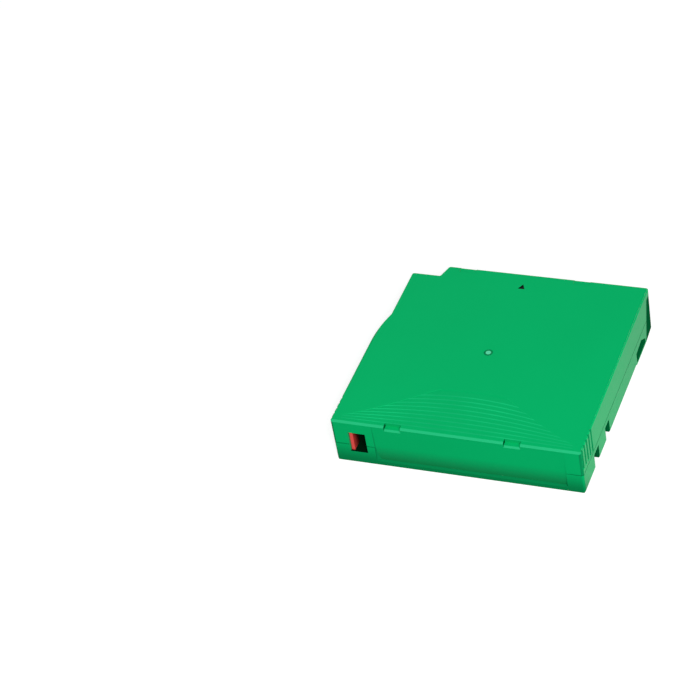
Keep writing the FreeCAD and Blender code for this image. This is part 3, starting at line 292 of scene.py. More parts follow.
    @staticmethod
    def depth() -> bpy.types.NodeTree:
        """Painted shade: a slow darkening along one direction of the piece, as towards a foot or the inside
        of a pocket.

        Returns:
            The group's tree.
        """
        tree = Effects.start(
            Effect.DEPTH,
            {"Along X": 0.0, "Along Y": 0.0, "Along Z": 1.0, "Start": 0.0, "End": 0.01, "Darkest": 0.8},
            {"Shade": "NodeSocketFloat"},
        )
        new, link = tree.nodes.new, tree.links.new
        inputs, outputs = tree.nodes["in"], tree.nodes["out"]
        place = new("ShaderNodeTexCoord")
        along = new("ShaderNodeCombineXYZ")
        for axis in "XYZ":
            link(inputs.outputs["Along " + axis], along.inputs[axis])
        dot = new("ShaderNodeVectorMath")
        dot.operation = "DOT_PRODUCT"
        link(place.outputs["Object"], dot.inputs[0])
        link(along.outputs["Vector"], dot.inputs[1])
        ramp = new("ShaderNodeMapRange")
        ramp.interpolation_type = "SMOOTHSTEP"
        link(dot.outputs["Value"], ramp.inputs["Value"])
        link(inputs.outputs["Start"], ramp.inputs["From Min"])
        link(inputs.outputs["End"], ramp.inputs["From Max"])
        link(inputs.outputs["Darkest"], ramp.inputs["To Min"])
        link(ramp.outputs["Result"], outputs.inputs["Shade"])
        return tree


# ---- finishes ------------------------------------------------------------------------------


def linear(red: int, green: int, blue: int) -> tuple[float, float, float, float]:
    """Turns a display colour into the linear one that shaders take.

    Args:
        red: 0 to 255.
        green: 0 to 255.
        blue: 0 to 255.

    Returns:
        Linear red, green and blue with an alpha of 1.
    """
    parts = []
    for value in (red, green, blue):
        share = value / 255.0
        parts.append(share / 12.92 if share <= 0.04045 else ((share + 0.055) / 1.055) ** 2.4)
    return (parts[0], parts[1], parts[2], 1.0)


@dataclass(frozen=True)
class MouldedFinish:
    """Injection-moulded plastic with a fine spark-eroded grain.

    Args:
        name: the material's name.
        colour: display colour.
        roughness: middle of the roughness.
        spread: how much the roughness wanders.
        grain: size of the grain in millimetres.
        depth: strength of the grain.
        tone: how much the colour wanders.
        specular: reflection level, 0.5 for ordinary plastic.
        ior: index of refraction; near 1 in recesses that reflect nothing bright.
        sheen: pale bloom at a low angle.
        subsurface: share of light that scatters inside.
        fade: direction, start, end and darkest share of a slow darkening that is painted shade, in
            millimetres.
    """

    name: str
    colour: tuple[int, int, int]
    roughness: float = 0.42
    spread: float = 0.1
    grain: float = 0.22
    depth: float = 0.25
    tone: float = 0.06
    specular: float = 0.5
    ior: float = 1.5
    sheen: float = 0.0
    subsurface: float = 0.0
    fade: tuple[tuple[float, float, float], float, float, float] | None = None

    def highlighted(self) -> "MouldedFinish":
        """The same plastic a shade paler as a painted highlight, and smoother and with less grain."""
        paler = tuple(round(channel * 0.94 + (255 - channel) * 0.13) for channel in self.colour)
        smoother, fainter = self.roughness - 0.12, self.depth * 0.4
        return replace(self, name=self.name + "_rim", colour=paler, roughness=smoother, depth=fainter)

    def build(self) -> bpy.types.Material:
        """Makes the material."""
        shader = Shader(self.name)
        grain = shader.effect(
            Effect.GRAIN, grain_size=self.grain, depth=self.depth, roughness=self.roughness,
            spread=self.spread, tone=self.tone,
        )
        tint = shader.add("ShaderNodeMix", data_type="RGBA", blend_type="MULTIPLY")
        tint.inputs["Factor"].default_value = 1.0
        tint.inputs["A"].default_value = linear(*self.colour)
        grey = shader.add("ShaderNodeCombineColor")
        tone = grain.outputs["Tone"]
        # painted shade: the grain's tone is darkened along one direction of the piece
        if self.fade is not None:
            (x, y, z), start, end, darkest = self.fade
            shade = shader.effect(
                Effect.DEPTH, along_x=x, along_y=y, along_z=z, start=start * MM, end=end * MM, darkest=darkest
            )
            product = shader.add("ShaderNodeMath", operation="MULTIPLY")
            shader.links.new(tone, product.inputs[0])
            shader.links.new(shade.outputs["Shade"], product.inputs[1])
            tone = product.outputs[0]
        for channel in ("Red", "Green", "Blue"):
            shader.links.new(tone, grey.inputs[channel])
        shader.links.new(grey.outputs["Color"], tint.inputs["B"])
        shader.feed(tint.outputs["Result"], "Base Color")
        shader.feed(grain.outputs["Roughness"], "Roughness")
        shader.feed(grain.outputs["Normal"], "Normal")
        shader.set("Specular IOR Level", self.specular)
        shader.set("IOR", self.ior)
        if self.sheen:
            shader.set("Sheen Weight", self.sheen)
            shader.set("Sheen Roughness", 0.3)
        if self.subsurface:
            shader.set("Subsurface Weight", self.subsurface)
            shader.set("Subsurface Radius", (0.4 * MM, 0.8 * MM, 0.4 * MM))
            shader.set("Subsurface Scale", 1.0)
        return shader.material


@dataclass(frozen=True)
class MetalFinish:
    """Steel, copper or brass with turning marks or a rolled surface.

    Args:
        name: the material's name.
        colour: display colour.
        roughness: middle of the roughness.
        marks: stretch of the marks along X, Y and Z.
        depth: strength of the marks.
    """

    name: str
    colour: tuple[int, int, int]
    roughness: float = 0.28
    marks: tuple[float, float, float] = (1.0, 1.0, 12.0)
    depth: float = 0.12

    def build(self) -> bpy.types.Material:
        """Makes the material."""
        shader = Shader(self.name)
        marks = shader.effect(
            Effect.STREAKS, along_x=self.marks[0], along_y=self.marks[1], along_z=self.marks[2],
            roughness=self.roughness, depth=self.depth,
        )
        tint = shader.add("ShaderNodeMix", data_type="RGBA")
        tint.inputs["A"].default_value = linear(*self.colour)
        tint.inputs["B"].default_value = [channel * 0.8 for channel in linear(*self.colour)[:3]] + [1.0]
        shader.links.new(marks.outputs["Share"], tint.inputs["Factor"])
        shader.feed(tint.outputs["Result"], "Base Color")
        shader.feed(marks.outputs["Roughness"], "Roughness")
        shader.feed(marks.outputs["Normal"], "Normal")
        shader.set("Metallic", 1.0)
        return shader.material


@dataclass(frozen=True)
class TapeFinish:
    """Wound tape: very dark brown, glossy on the film's face and finely ringed on its edges.

    Args:
        name: the material's name.
        colour: display colour.
        roughness: middle of the roughness.
        pitch: distance between the visible rings, in millimetres.
    """

    name: str
    colour: tuple[int, int, int] = (38, 31, 29)
    roughness: float = 0.24
    pitch: float = 0.35

    def build(self) -> bpy.types.Material:
        """Makes the material."""
        shader = Shader(self.name)
        place = shader.add("ShaderNodeTexCoord")
        rings = shader.add("ShaderNodeTexWave", wave_type="RINGS", rings_direction="Z")
        rings.inputs["Scale"].default_value = 1000.0 / self.pitch / 20.0
        rings.inputs["Distortion"].default_value = 0.6
        rings.inputs["Detail"].default_value = 3.0
        shader.links.new(place.outputs["Object"], rings.inputs["Vector"])
        rough = shader.add("ShaderNodeMapRange")
        rough.inputs["To Min"].default_value = self.roughness - 0.06
        rough.inputs["To Max"].default_value = self.roughness + 0.14
        shader.links.new(rings.outputs["Fac"], rough.inputs["Value"])
        tint = shader.add("ShaderNodeMix", data_type="RGBA")
        tint.inputs["A"].default_value = linear(*self.colour)
        tint.inputs["B"].default_value = [channel * 1.6 for channel in linear(*self.colour)[:3]] + [1.0]
        shader.links.new(rings.outputs["Fac"], tint.inputs["Factor"])
        bump = shader.add("ShaderNodeBump", strength=0.1, distance=0.00002)
        shader.links.new(rings.outputs["Fac"], bump.inputs["Height"])
        shader.feed(tint.outputs["Result"], "Base Color")
        shader.feed(rough.outputs["Result"], "Roughness")
        shader.feed(bump.outputs["Normal"], "Normal")
        return shader.material


class Finish(Enum):
    """Every finish on the cartridge."""

    CASE = MouldedFinish(
        "case_green_plastic", (0, 173, 99), depth=0.22, specular=0.03, ior=1.3, sheen=0.3,
        # painted shade: darker towards the front bottom edge
        fade=((0, 1, 1), -51.0, -39.5, 0.46),
    )
    # the seam's own dark line, and painted shade in the gripper notches, the key slot, the lead-in facet and
    # the stacking notches' walls
    SHADE = MouldedFinish(
        "case_green_seam_and_painted_shade", (0, 96, 50), roughness=0.5, depth=0.22, specular=0.03, ior=1.03
    )
    # painted shadow in the space behind the switch window
    POCKET = MouldedFinish("case_pocket_painted_shadow", (2, 26, 12), roughness=0.6, depth=0.2, specular=0.03, ior=1.03)
    # the seam's softer line in front, and painted shade in the grip grooves, the gate's ring, the sill and
    # the panel's left wall
    GROOVE = MouldedFinish(
        "case_green_soft_seam_and_painted_shade", (8, 132, 78), roughness=0.5, depth=0.22, specular=0.03, ior=1.2
    )
    NUB = MouldedFinish("gate_pale_plastic", (84, 206, 158), roughness=0.35, depth=0.2, specular=0.2)
    # the ridge slopes that face the front, paler as a painted highlight, with a strongly wandering tone
    RIDGE = MouldedFinish(
        "case_green_ridge_painted_highlight", (22, 180, 112), roughness=0.36, depth=0.1, tone=1.1, specular=0.03, ior=1.3
    )
    DOOR = MouldedFinish("door_green_plastic", (2, 152, 88), roughness=0.36, depth=0.15, specular=0.1)
    SWITCH = MouldedFinish(
        "switch_red_plastic", (214, 64, 58), roughness=0.34, depth=0.15, specular=0.3,
        # painted shade: the slider darkens towards the inside of its window
        fade=((-0.6, -1, 0), 72.0, 77.4, 0.05),
    )
    ARROW = MouldedFinish("arrow_ink", (10, 18, 14), roughness=0.55, depth=0.3, specular=0.1)
    REEL = MouldedFinish("reel_grey_plastic", (206, 208, 208), roughness=0.3, depth=0.12, subsurface=0.15)
    BRAKE = MouldedFinish("brake_white_plastic", (226, 223, 214), roughness=0.35, depth=0.15, subsurface=0.1)
    CLIP = MouldedFinish("clip_dark_plastic", (70, 70, 73), roughness=0.4)
    CHIP = MouldedFinish("chip_epoxy", (26, 26, 27), roughness=0.5, grain=0.1)
    BOARD = MouldedFinish("board_laminate", (34, 92, 42), roughness=0.3, grain=0.3)
    STEEL = MetalFinish("turned_steel", (196, 195, 192), roughness=0.26)
    PLATE = MetalFinish("rolled_steel", (176, 176, 174), roughness=0.34, marks=(1.0, 14.0, 1.0))
    WIRE = MetalFinish("spring_wire", (186, 185, 182), roughness=0.22, marks=(6.0, 6.0, 1.0))
    SCREW = MetalFinish("screw_steel", (150, 150, 150), roughness=0.32)
    COPPER = MetalFinish("copper_track", (214, 140, 96), roughness=0.3, marks=(1.0, 1.0, 1.0))
    TAPE = TapeFinish("wound_tape")

    def material(self) -> bpy.types.Material:
        """Finds or builds this finish's material."""
        found = bpy.data.materials.get(self.value.name)
        return found if found is not None else self.value.build()

    def rim(self) -> bpy.types.Material:
        """Finds or builds the paler copy of the same plastic, which paints a highlight on an edge."""
        highlighted = self.value.highlighted()
        found = bpy.data.materials.get(highlighted.name)
        return found if found is not None else highlighted.build()


def dress(piece: bpy.types.Object, finish: Finish) -> None:
    """Gives every slot of a piece one finish.

    Args:
        piece: a mesh object.
        finish: its finish.
    """
    if not piece.data.materials:
        piece.data.materials.append(finish.material())
    for slot in piece.material_slots:
        slot.material = finish.material()


# ---- mouldings with softened edges -------------------------------------------------------------


class Zone(IntEnum):
    """The materials that a moulding carries, by their place in its list."""

    PLAIN = 0
    # a paler copy of the plastic that paints a highlight
    WORN = 1
    INKED = 2
    # the seam's own dark line, and painted shade in recesses and on faces turned from the light
    RECESSED = 3
    # painted shadow in the space behind the switch window
    DEEP = 4
    # the seam's softer line in front, and painted shade in grooves and on walls turned from the light
    GROOVED = 5
    PALE = 6
    # paler ridge slopes, a painted highlight
    RIDGED = 7


@dataclass(frozen=True)
class Patch:
    """A place on a moulding whose faces take another of its materials.

    Args:
        low: lowest corner of the place, in millimetres.
        high: highest corner.
        zone: the material.
        facing: axis and the range that the face's normal has along it.
        crisp: whether the faces keep hard shading.
    """

    low: tuple[float, float, float]
    high: tuple[float, float, float]
    zone: Zone
    facing: tuple[int, float, float] = (2, -1.01, 1.01)
    crisp: bool = False

    def holds(self, face: bmesh.types.BMFace) -> bool:
        """Tells whether a face belongs to this place."""
        middle = face.calc_center_median() / MM
        axis, least, most = self.facing
        inside = all(self.low[index] < middle[index] < self.high[index] for index in range(3))
        return inside and least < face.normal[axis] < most

    def mirrored(self) -> "Patch":
        """The same place on the other side of the case."""
        low, high = (-self.high[0], *self.low[1:]), (-self.low[0], *self.high[1:])
        return replace(self, low=low, high=high)


@dataclass
class Moulding:
    """A moulded part of the frame, redrawn with the small radius that a mould leaves on every edge.

    Args:
        node: the part's name in the frame.
        body: the body that it moves with.
        slot: the record's material slot; not used.
        finish: its finish.
        radius: radius of the edges, in millimetres.
        sharp: smallest angle that counts as an edge, in degrees.
        weld: distance within which points are joined, in millimetres.
        flat: largest angle between faces that become one, in degrees.
        patches: places with another of the zones' materials.
        adjust: last change to the shape before its edges are rounded.
    """

    node: str
    body: str
    slot: str
    finish: Finish
    radius: float = 0.12
    sharp: float = 32.0
    weld: float = 0.002
    flat: float = 0.6
    patches: tuple[Patch, ...] = ()
    adjust: Callable[[bmesh.types.BMesh], None] | None = None
    piece: bpy.types.Object = field(init=False)

    def build(self) -> bpy.types.Object:
        """Copies the node, joins its faces and rounds its edges.

        Returns:
            The finished object.
        """
        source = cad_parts[self.node]
        mesh = source.data.copy()
        mesh.name = self.node + "_moulded"
        mesh.materials.clear()
        # after the plastic and its paler copy, a painted highlight: the arrow's print, the seam's line with
        # painted shade, painted shadow, the seam's softer line with painted shade, the gate's nub and the
        # ridges' painted highlight
        extra = (Finish.ARROW, Finish.SHADE, Finish.POCKET, Finish.GROOVE, Finish.NUB, Finish.RIDGE)
        for material in (self.finish.material(), self.finish.rim(), *(finish.material() for finish in extra)):
            mesh.materials.append(material)
        shape = bmesh.new()
        shape.from_mesh(mesh)
        bmesh.ops.remove_doubles(shape, verts=shape.verts, dist=self.weld * MM)
        bmesh.ops.dissolve_degenerate(shape, edges=shape.edges, dist=self.weld / 2 * MM)
        bmesh.ops.dissolve_limit(
            shape, angle_limit=math.radians(self.flat), use_dissolve_boundaries=False,
            verts=shape.verts, edges=shape.edges,
        )
        for face in shape.faces:
            face.smooth = True
            face.material_index = Zone.PLAIN
        shape.normal_update()
        for patch in self.patches:
            for face in shape.faces:
                if patch.holds(face):
                    face.material_index = patch.zone
                    face.smooth = not patch.crisp
        if self.adjust is not None:
            self.adjust(shape)
        shape.to_mesh(mesh)
        shape.free()
        self.piece = bpy.data.objects.new(self.node + "_moulded", mesh)
        bpy.context.scene.collection.objects.link(self.piece)
        mesh.set_sharp_from_angle(angle=math.radians(self.sharp))
        if self.radius > 0.0:
            self.round_edges()
        self.even_normals()
        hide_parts(self.node)
        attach(self.piece, self.body)
        return self.piece

    def round_edges(self) -> None:
        """Adds the bevel and the normals that make it read as one soft edge."""
        bevel = self.piece.modifiers.new("mould_radius", "BEVEL")
        bevel.width = self.radius * MM
        bevel.segments = 2
        bevel.limit_method = "ANGLE"
        bevel.angle_limit = math.radians(self.sharp)
        bevel.use_clamp_overlap = True
        bevel.material = -1
        bevel.miter_outer = "MITER_ARC"

    def even_normals(self) -> None:
        """Lets the large faces keep their own normals, so that only the small ones between them blend."""
        weighted = self.piece.modifiers.new("even_normals", "WEIGHTED_NORMAL")
        weighted.mode = "FACE_AREA"
        weighted.weight = 60
        weighted.keep_sharp = True


@dataclass
class Case:
    """The two shells, their screws, the tape door and the write-protect slider, in millimetres.

    Args:
        shell_radius: radius of the shells' edges.
        switch_radius: radius of the slider's edges.
        door_radius: radius of the door's edges.
        half_width: half the width of the case.
        half_depth: half its depth.
        height: its height.
        seam: height of the line between the shells.
        seam_drawn: height of that line in the solids.
        seam_wide: height that it gets here.
        notches: front and rear end of each gripper notch.
        notch_reach: how far a notch goes in.
        notch_top: its height.
        key: front and rear end of the slot in the right side.
        grips: middle of each grip groove.
        grip_rear: rear end of the grip.
        grip_deeper: how much deeper the grooves get.
        rear_notch_floor: height of the rear stacking notches' floors.
        rear_notch_raised: height that they get here.
        ripple_front: front edge of the ridged field.
        ripple_rear: a little behind its rear edge.
        ripple_side: half its width.
        ripple_share: share of the ridges' height that is left.
        ripple_bow: how strongly the ridges are bowed.
        gate_x: middle of the moulding gate.
        nub_wider: how much wider its nub gets.
        panel: left and right end of the label panel.
        stack_notches: left and right end of the front stacking notches, a little beyond their walls.
        window: corners of the space behind the switch window.
    """

    shell_radius: float = 0.14
    switch_radius: float = 0.2
    door_radius: float = 0.12
    half_width: float = CAD_BOX[1][0] / MM
    half_depth: float = CAD_BOX[1][1] / MM
    height: float = CAD_BOX[1][2] / MM
    seam: float = 9.2
    seam_drawn: float = 0.22
    seam_wide: float = 0.32
    notches: tuple[tuple[float, float], ...] = ((-36.6, -30.3), (-20.5, -15.0))
    notch_reach: float = 3.6
    notch_top: float = 7.1
    key: tuple[float, float] = (27.0, 40.4)
    grips: tuple[float, ...] = tuple(-49.4 + 3.05 * index for index in range(5))
    grip_rear: float = -35.6
    grip_deeper: float = 1.5
    rear_notch_floor: float = 19.7
    rear_notch_raised: float = 21.05
    ripple_front: float = -49.4
    ripple_rear: float = -24.0
    ripple_side: float = 48.6
    ripple_share: float = 0.5
    ripple_bow: float = 0.55
    gate_x: float = -1.4
    nub_wider: float = 1.6
    panel: tuple[float, float] = (-35.1, 45.5)
    stack_notches: tuple[tuple[float, float], ...] = ((-34.5, -25.0), (15.9, 25.5))
    window: tuple[tuple[float, float, float], ...] = ((-51.3, -49.5, 4.0), (-37.9, -44.0, 17.5))

    def lid_patches(self) -> list[Patch]:
        """Arrow, ridged field with a painted highlight on its front slopes, front edge with a painted
        highlight, and moulding gate with painted shade in its ring.
        """
        wide, deep, tall = self.half_width, self.half_depth, self.height
        field = ((-wide, -deep, tall - 0.4), (wide, -20.0, tall - SKIN))
        gate = self.gate_x
        return [
            Patch((-2.0, 41.0, tall - 1.0), (2.0, 45.0, tall - SKIN), Zone.INKED),
            # painted highlight: the ridge slopes that face the front are paler
            Patch(*field, Zone.RIDGED, (1, -1.0, -0.05), crisp=True),
            Patch(*field, Zone.PLAIN, (1, 0.05, 1.0), crisp=True),
            # painted highlight: the chamfer of the front top edge takes the paler copy
            Patch((-wide, -deep - 0.1, tall - 3.0), (wide, -deep + 0.9, tall), Zone.WORN, (2, 0.6, 0.8)),
            # painted shade in the ring around the gate
            Patch((gate - 2.6, -2.5, tall - 1.0), (gate + 2.4, 2.5, tall - SKIN), Zone.GROOVED),
            Patch((gate - 1.2, -1.2, tall - SKIN), (gate + 1.2, 1.2, tall + SKIN), Zone.PALE),
        ]

    def seam_patches(self) -> list[Patch]:
        """The line between the shells, softer in front, and none of it on the label panel."""
        wide, deep = self.half_width + 1, self.half_depth + 1
        foot, head = self.seam - SKIN, self.seam + 0.3
        left, right = self.panel
        return [
            Patch((-wide, -deep, foot), (wide, deep, head), Zone.RECESSED),
            Patch((-wide, -deep, foot), (wide, 0.9 - self.half_depth, head), Zone.GROOVED),
            Patch((left - 0.1, -deep, self.seam - 1), (right + 0.1, -48.0, self.seam + 1), Zone.PLAIN),
        ]

    def front_patches(self) -> list[Patch]:
        """Painted shade on the walls of the stacking notches, painted shadow in the space behind the window,
        and painted shade on two edges of the panel.
        """
        left, right = self.panel
        front = -self.half_depth - 0.1
        # painted shade on the notch walls that face the right
        walls = [
            Patch((start, front - 0.1, 18.5), (end, -47.5, self.height - SKIN), Zone.RECESSED, (0, 0.5, 1.01))
            for start, end in self.stack_notches
        ]
        return walls + [
            # painted shadow in the space behind the switch window
            Patch(*self.window, Zone.DEEP),
            # painted shade on the sill under the panel and on the panel's left wall
            Patch((left - 0.9, front, 1.0), (right + 0.5, -49.3, 5.0), Zone.GROOVED, (2, 0.9, 1.01)),
            Patch((left - 0.9, front, 1.0), (left + 4.1, -48.0, self.height - 0.5), Zone.GROOVED,
                  (0, 0.3, 1.01)),
        ]

    def side_patches(self) -> list[Patch]:
        """Painted shade on the lead-in facet and in the key slot on the right, and in the grip grooves and
        gripper notches on both sides.
        """
        wide, deep, tall = self.half_width, self.half_depth, self.height
        outer, inner = wide - 0.05, wide - self.notch_reach - 0.1
        key_front, key_rear = self.key
        # painted shade in the grip grooves
        grooves = Patch(
            (wide - 1.0, -deep, self.seam + 0.5), (outer, self.grip_rear, tall), Zone.GROOVED, (2, -0.3, 0.3),
            crisp=True,
        )
        places = [
            # painted shade on the lead-in facet and in the key slot
            Patch((50.0, 40.0, -1.0), (wide + 0.1, deep + 0.1, 19.0), Zone.RECESSED, (1, 0.02, 0.2)),
            Patch((wide - 1.3, key_front - 0.1, 0.5), (outer, key_rear + 0.1, 7.0), Zone.RECESSED),
            grooves, grooves.mirrored(),
        ]
        for front, rear in self.notches:
            # painted shade inside the gripper notches
            notch = Patch(
                (inner, front - 0.1, -0.1), (outer, rear + 0.1, self.notch_top + 0.1), Zone.RECESSED,
                (2, -1.01, 0.9),
            )
            places += [notch, notch.mirrored()]
        return places

    def on_ridges(self, vertex: bmesh.types.BMVert) -> bool:
        """Tells whether a point lies in the ridged field, behind its front edge."""
        x, y, z = vertex.co / MM
        in_depth = self.ripple_front + 0.05 < y < self.ripple_rear
        return in_depth and z > self.height - 0.3 and abs(x) < self.ripple_side

    def arch_ridges(self, shape: bmesh.types.BMesh) -> None:
        """Bows the grip ridges on the lid into shallow nested arches.

        Args:
            shape: the upper shell.
        """
        long = [
            edge for edge in shape.edges
            if all(self.on_ridges(vertex) for vertex in edge.verts)
            and abs(edge.verts[0].co.x - edge.verts[1].co.x) > 8 * MM
        ]
        bmesh.ops.subdivide_edges(shape, edges=long, cuts=12, use_grid_fill=False)
        for vertex in shape.verts:
            if self.on_ridges(vertex):
                share = (vertex.co.x / MM / self.half_width) ** 2
                vertex.co.y -= self.ripple_bow * (vertex.co.y - self.ripple_front * MM) * share

    def lower_ridges(self, shape: bmesh.types.BMesh) -> None:
        """Brings the floor of the ridged field nearer to the lid.

        Args:
            shape: the upper shell.
        """
        for vertex in shape.verts:
            x, y, z = vertex.co / MM
            if z > self.height - 0.3 and y < -20.0 and abs(x) < self.ripple_side:
                vertex.co.z = (self.height - (self.height - z) * self.ripple_share) * MM

    def raise_rear_notches(self, shape: bmesh.types.BMesh) -> None:
        """Makes the stacking notches of the rear edge shallower.

        Args:
            shape: the upper shell.
        """
        for vertex in shape.verts:
            x, y, z = vertex.co / MM
            if y > 48.0 and abs(z - self.rear_notch_floor) < 0.02 and abs(x) < 32.0:
                vertex.co.z = self.rear_notch_raised * MM

    def widen_nub(self, shape: bmesh.types.BMesh) -> None:
        """Widens the nub in the moulding gate.

        Args:
            shape: the upper shell.
        """
        for vertex in shape.verts:
            x, y, z = vertex.co / MM
            if math.hypot(x - self.gate_x, y) < 0.9 and z > self.height - 0.5:
                vertex.co.x = (self.gate_x + (x - self.gate_x) * self.nub_wider) * MM
                vertex.co.y = y * self.nub_wider * MM

    def widen_seam(self, shape: bmesh.types.BMesh) -> None:
        """Raises the upper edge of the line between the shells, except at the label panel.

        Args:
            shape: the upper shell.
        """
        middle, half = sum(self.panel) / 2, (self.panel[1] - self.panel[0]) / 2 + 0.3
        for vertex in shape.verts:
            x, y, z = vertex.co / MM
            on_panel = abs(x - middle) < half and y < 0.0
            if abs(z - self.seam - self.seam_drawn) < 0.01 and not on_panel:
                vertex.co.z = (self.seam + self.seam_wide) * MM

    def deepen_grips(self, shape: bmesh.types.BMesh) -> None:
        """Deepens the grip grooves, all but the first, which runs out at the corner.

        Args:
            shape: the upper shell.
        """
        reach = 0.8
        for vertex in shape.verts:
            x, y, z = vertex.co / MM
            depth = self.half_width - abs(x)
            on_wall = z < self.height - 0.52 or z > self.height - 0.01
            near = min(abs(y - groove) for groove in self.grips) < reach
            if on_wall and near and self.grips[0] + 1.0 < y < self.grip_rear and 0.02 < depth < 0.45:
                vertex.co.x = math.copysign(self.half_width - depth * self.grip_deeper, x) * MM

    def adjust_lid(self, shape: bmesh.types.BMesh) -> None:
        """Makes every change to the upper shell before its edges are rounded.

        Args:
            shape: the upper shell.
        """
        for change in (
            self.arch_ridges, self.raise_rear_notches, self.lower_ridges, self.widen_nub, self.widen_seam,
            self.deepen_grips,
        ):
            change(shape)

    def build(self) -> list[bpy.types.Object]:
        """Builds the mouldings of the case.

        Returns:
            The new objects.
        """
        places = (*self.lid_patches(), *self.seam_patches(), *self.front_patches(), *self.side_patches())
        mouldings = (
            Moulding("upper_shell", "case", "case_green", Finish.CASE, self.shell_radius, patches=places,
                     adjust=self.adjust_lid),
            Moulding("lower_shell", "case", "case_green", Finish.CASE, self.shell_radius, patches=places),
            Moulding("access_door", "door", "door_green", Finish.DOOR, self.door_radius),
            Moulding("write_protect_slider", "write_protect", "switch_red", Finish.SWITCH,
                     self.switch_radius),
        )
        made = [moulding.build() for moulding in mouldings]
        dress(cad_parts["case_screws"], Finish.SCREW)
        return made


@dataclass
class Coil:
    """A compression spring drawn again as round wire.

    Args:
        node: the spring's name in the frame.
        joint: the joint that presses it; not used.
        axis: 1 where it stands along Y, 2 along Z.
        anchored_low: whether its lower end is the still one.
        keep: share of its length that is left at the joint's limit; not used.
        wire: wire thickness in millimetres.
        turns: number of turns, the closed end turns among them.
        steps: straight runs in one turn.
        sides: sides of the wire.
    """

    node: str
    joint: str
    axis: int
    anchored_low: bool
    keep: float
    wire: float
    turns: int
    steps: int = 28
    sides: int = 10
    closed_pitch: float = 1.15

    def build(self) -> bpy.types.Object:
        """Winds the wire in the space that the frame's spring holds.

        Returns:
            The finished spring.
        """
        low, high = (Vector(corner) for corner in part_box(self.node))
        middle = (low + high) / 2
        wire = self.wire * MM
        radius = (high.x - low.x - wire) / 2
        length = high[self.axis] - low[self.axis]
        closed = wire * self.closed_pitch
        opened = (length - wire - 2 * closed) / (self.turns - 2)
        shape = bmesh.new()
        section = bmesh.ops.create_circle(shape, segments=self.sides, radius=wire / 2)["verts"]
        turn = Matrix.Translation((radius, 0.0, wire / 2)) @ Matrix.Rotation(math.pi / 2, 4, "X")
        bmesh.ops.transform(shape, matrix=turn, verts=section)
        last = list(shape.verts) + list(shape.edges)
        for turns, pitch in ((1, closed), (self.turns - 2, opened), (1, closed)):
            count = turns * self.steps
            wound = bmesh.ops.spin(
                shape, geom=last, cent=(0.0, 0.0, 0.0), axis=(0.0, 0.0, 1.0), angle=2 * math.pi * turns,
                steps=count, dvec=(0.0, 0.0, pitch / self.steps), use_merge=False,
            )
            last = wound["geom_last"]
        bmesh.ops.holes_fill(shape, edges=[edge for edge in shape.edges if edge.is_boundary], sides=0)
        bmesh.ops.recalc_face_normals(shape, faces=shape.faces)
        start = Vector((middle.x, middle.y, middle.z))
        start[self.axis] = low[self.axis]
        place = Matrix.Translation(start)
        if self.axis == 1:
            place = place @ Matrix.Rotation(-math.pi / 2, 4, "X")
        bmesh.ops.transform(shape, matrix=place, verts=shape.verts)
        for face in shape.faces:
            face.smooth = len(face.verts) == 4
        mesh = bpy.data.meshes.new(self.node + "_coil")
        shape.to_mesh(mesh)
        shape.free()
        piece = bpy.data.objects.new(self.node + "_coil", mesh)
        bpy.context.scene.collection.objects.link(piece)
        dress(piece, Finish.WIRE)
        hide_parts(self.node)
        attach(piece, "case")
        still = start.copy()
        still[self.axis] = low[self.axis] if self.anchored_low else high[self.axis]
        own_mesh(piece)
        return piece


@dataclass
class Reel:
    """Hub, flanges, tape, drive plate and brake."""

    def dress(self) -> None:
        """Gives the reel's parts their finishes."""
        for node, finish in (
            ("reel_hub", Finish.REEL),
            ("upper_flange", Finish.REEL),
            ("tape_pack", Finish.TAPE),
            ("drive_plate", Finish.PLATE),
            ("brake_button", Finish.BRAKE),
            ("release_plate", Finish.BRAKE),
        ):
            dress(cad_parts[node], finish)


@dataclass
class Leader:
    """Leader pin, its clip and springs, and the first stretch of tape."""

    def dress(self) -> None:
        """Gives the leader's parts their finishes."""
        for node, finish in (
            ("leader_pin", Finish.STEEL),
            ("tape_clip", Finish.CLIP),
            ("leader_tape", Finish.TAPE),
            ("lower_pin_spring", Finish.WIRE),
            ("upper_pin_spring", Finish.WIRE),
        ):
            dress(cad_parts[node], finish)


@dataclass
class MemoryTag:
    """Board, antenna track and chip."""

    def dress(self) -> None:
        """Gives the tag's parts their finishes."""
        dress(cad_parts["memory_board"], Finish.BOARD)
        dress(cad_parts["memory_antenna"], Finish.COPPER)
        dress(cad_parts["memory_chip"], Finish.CHIP)


# ---- studio ------------------------------------------------------------------------------------------


@dataclass(frozen=True)
class Lamp:
    """A soft area light.

    Args:
        name: its name.
        place: where it stands, in metres.
        size: width and height in metres.
        power: watts.
        colour: its tint.
    """

    name: str
    place: tuple[float, float, float]
    size: tuple[float, float]
    power: float
    colour: tuple[float, float, float] = (1.0, 1.0, 1.0)

    def build(self) -> None:
        """Hangs the light, turned towards the middle of the cartridge."""
        data = bpy.data.lights.new(self.name, "AREA")
        data.shape = "RECTANGLE"
        data.size, data.size_y = self.size
        data.energy = self.power
        data.color = self.colour
        lamp = bpy.data.objects.new(self.name, data)
        lamp.location = self.place
        lamp.rotation_euler = (-Vector(self.place)).to_track_quat("-Z", "Y").to_euler()
        bpy.context.scene.collection.objects.link(lamp)


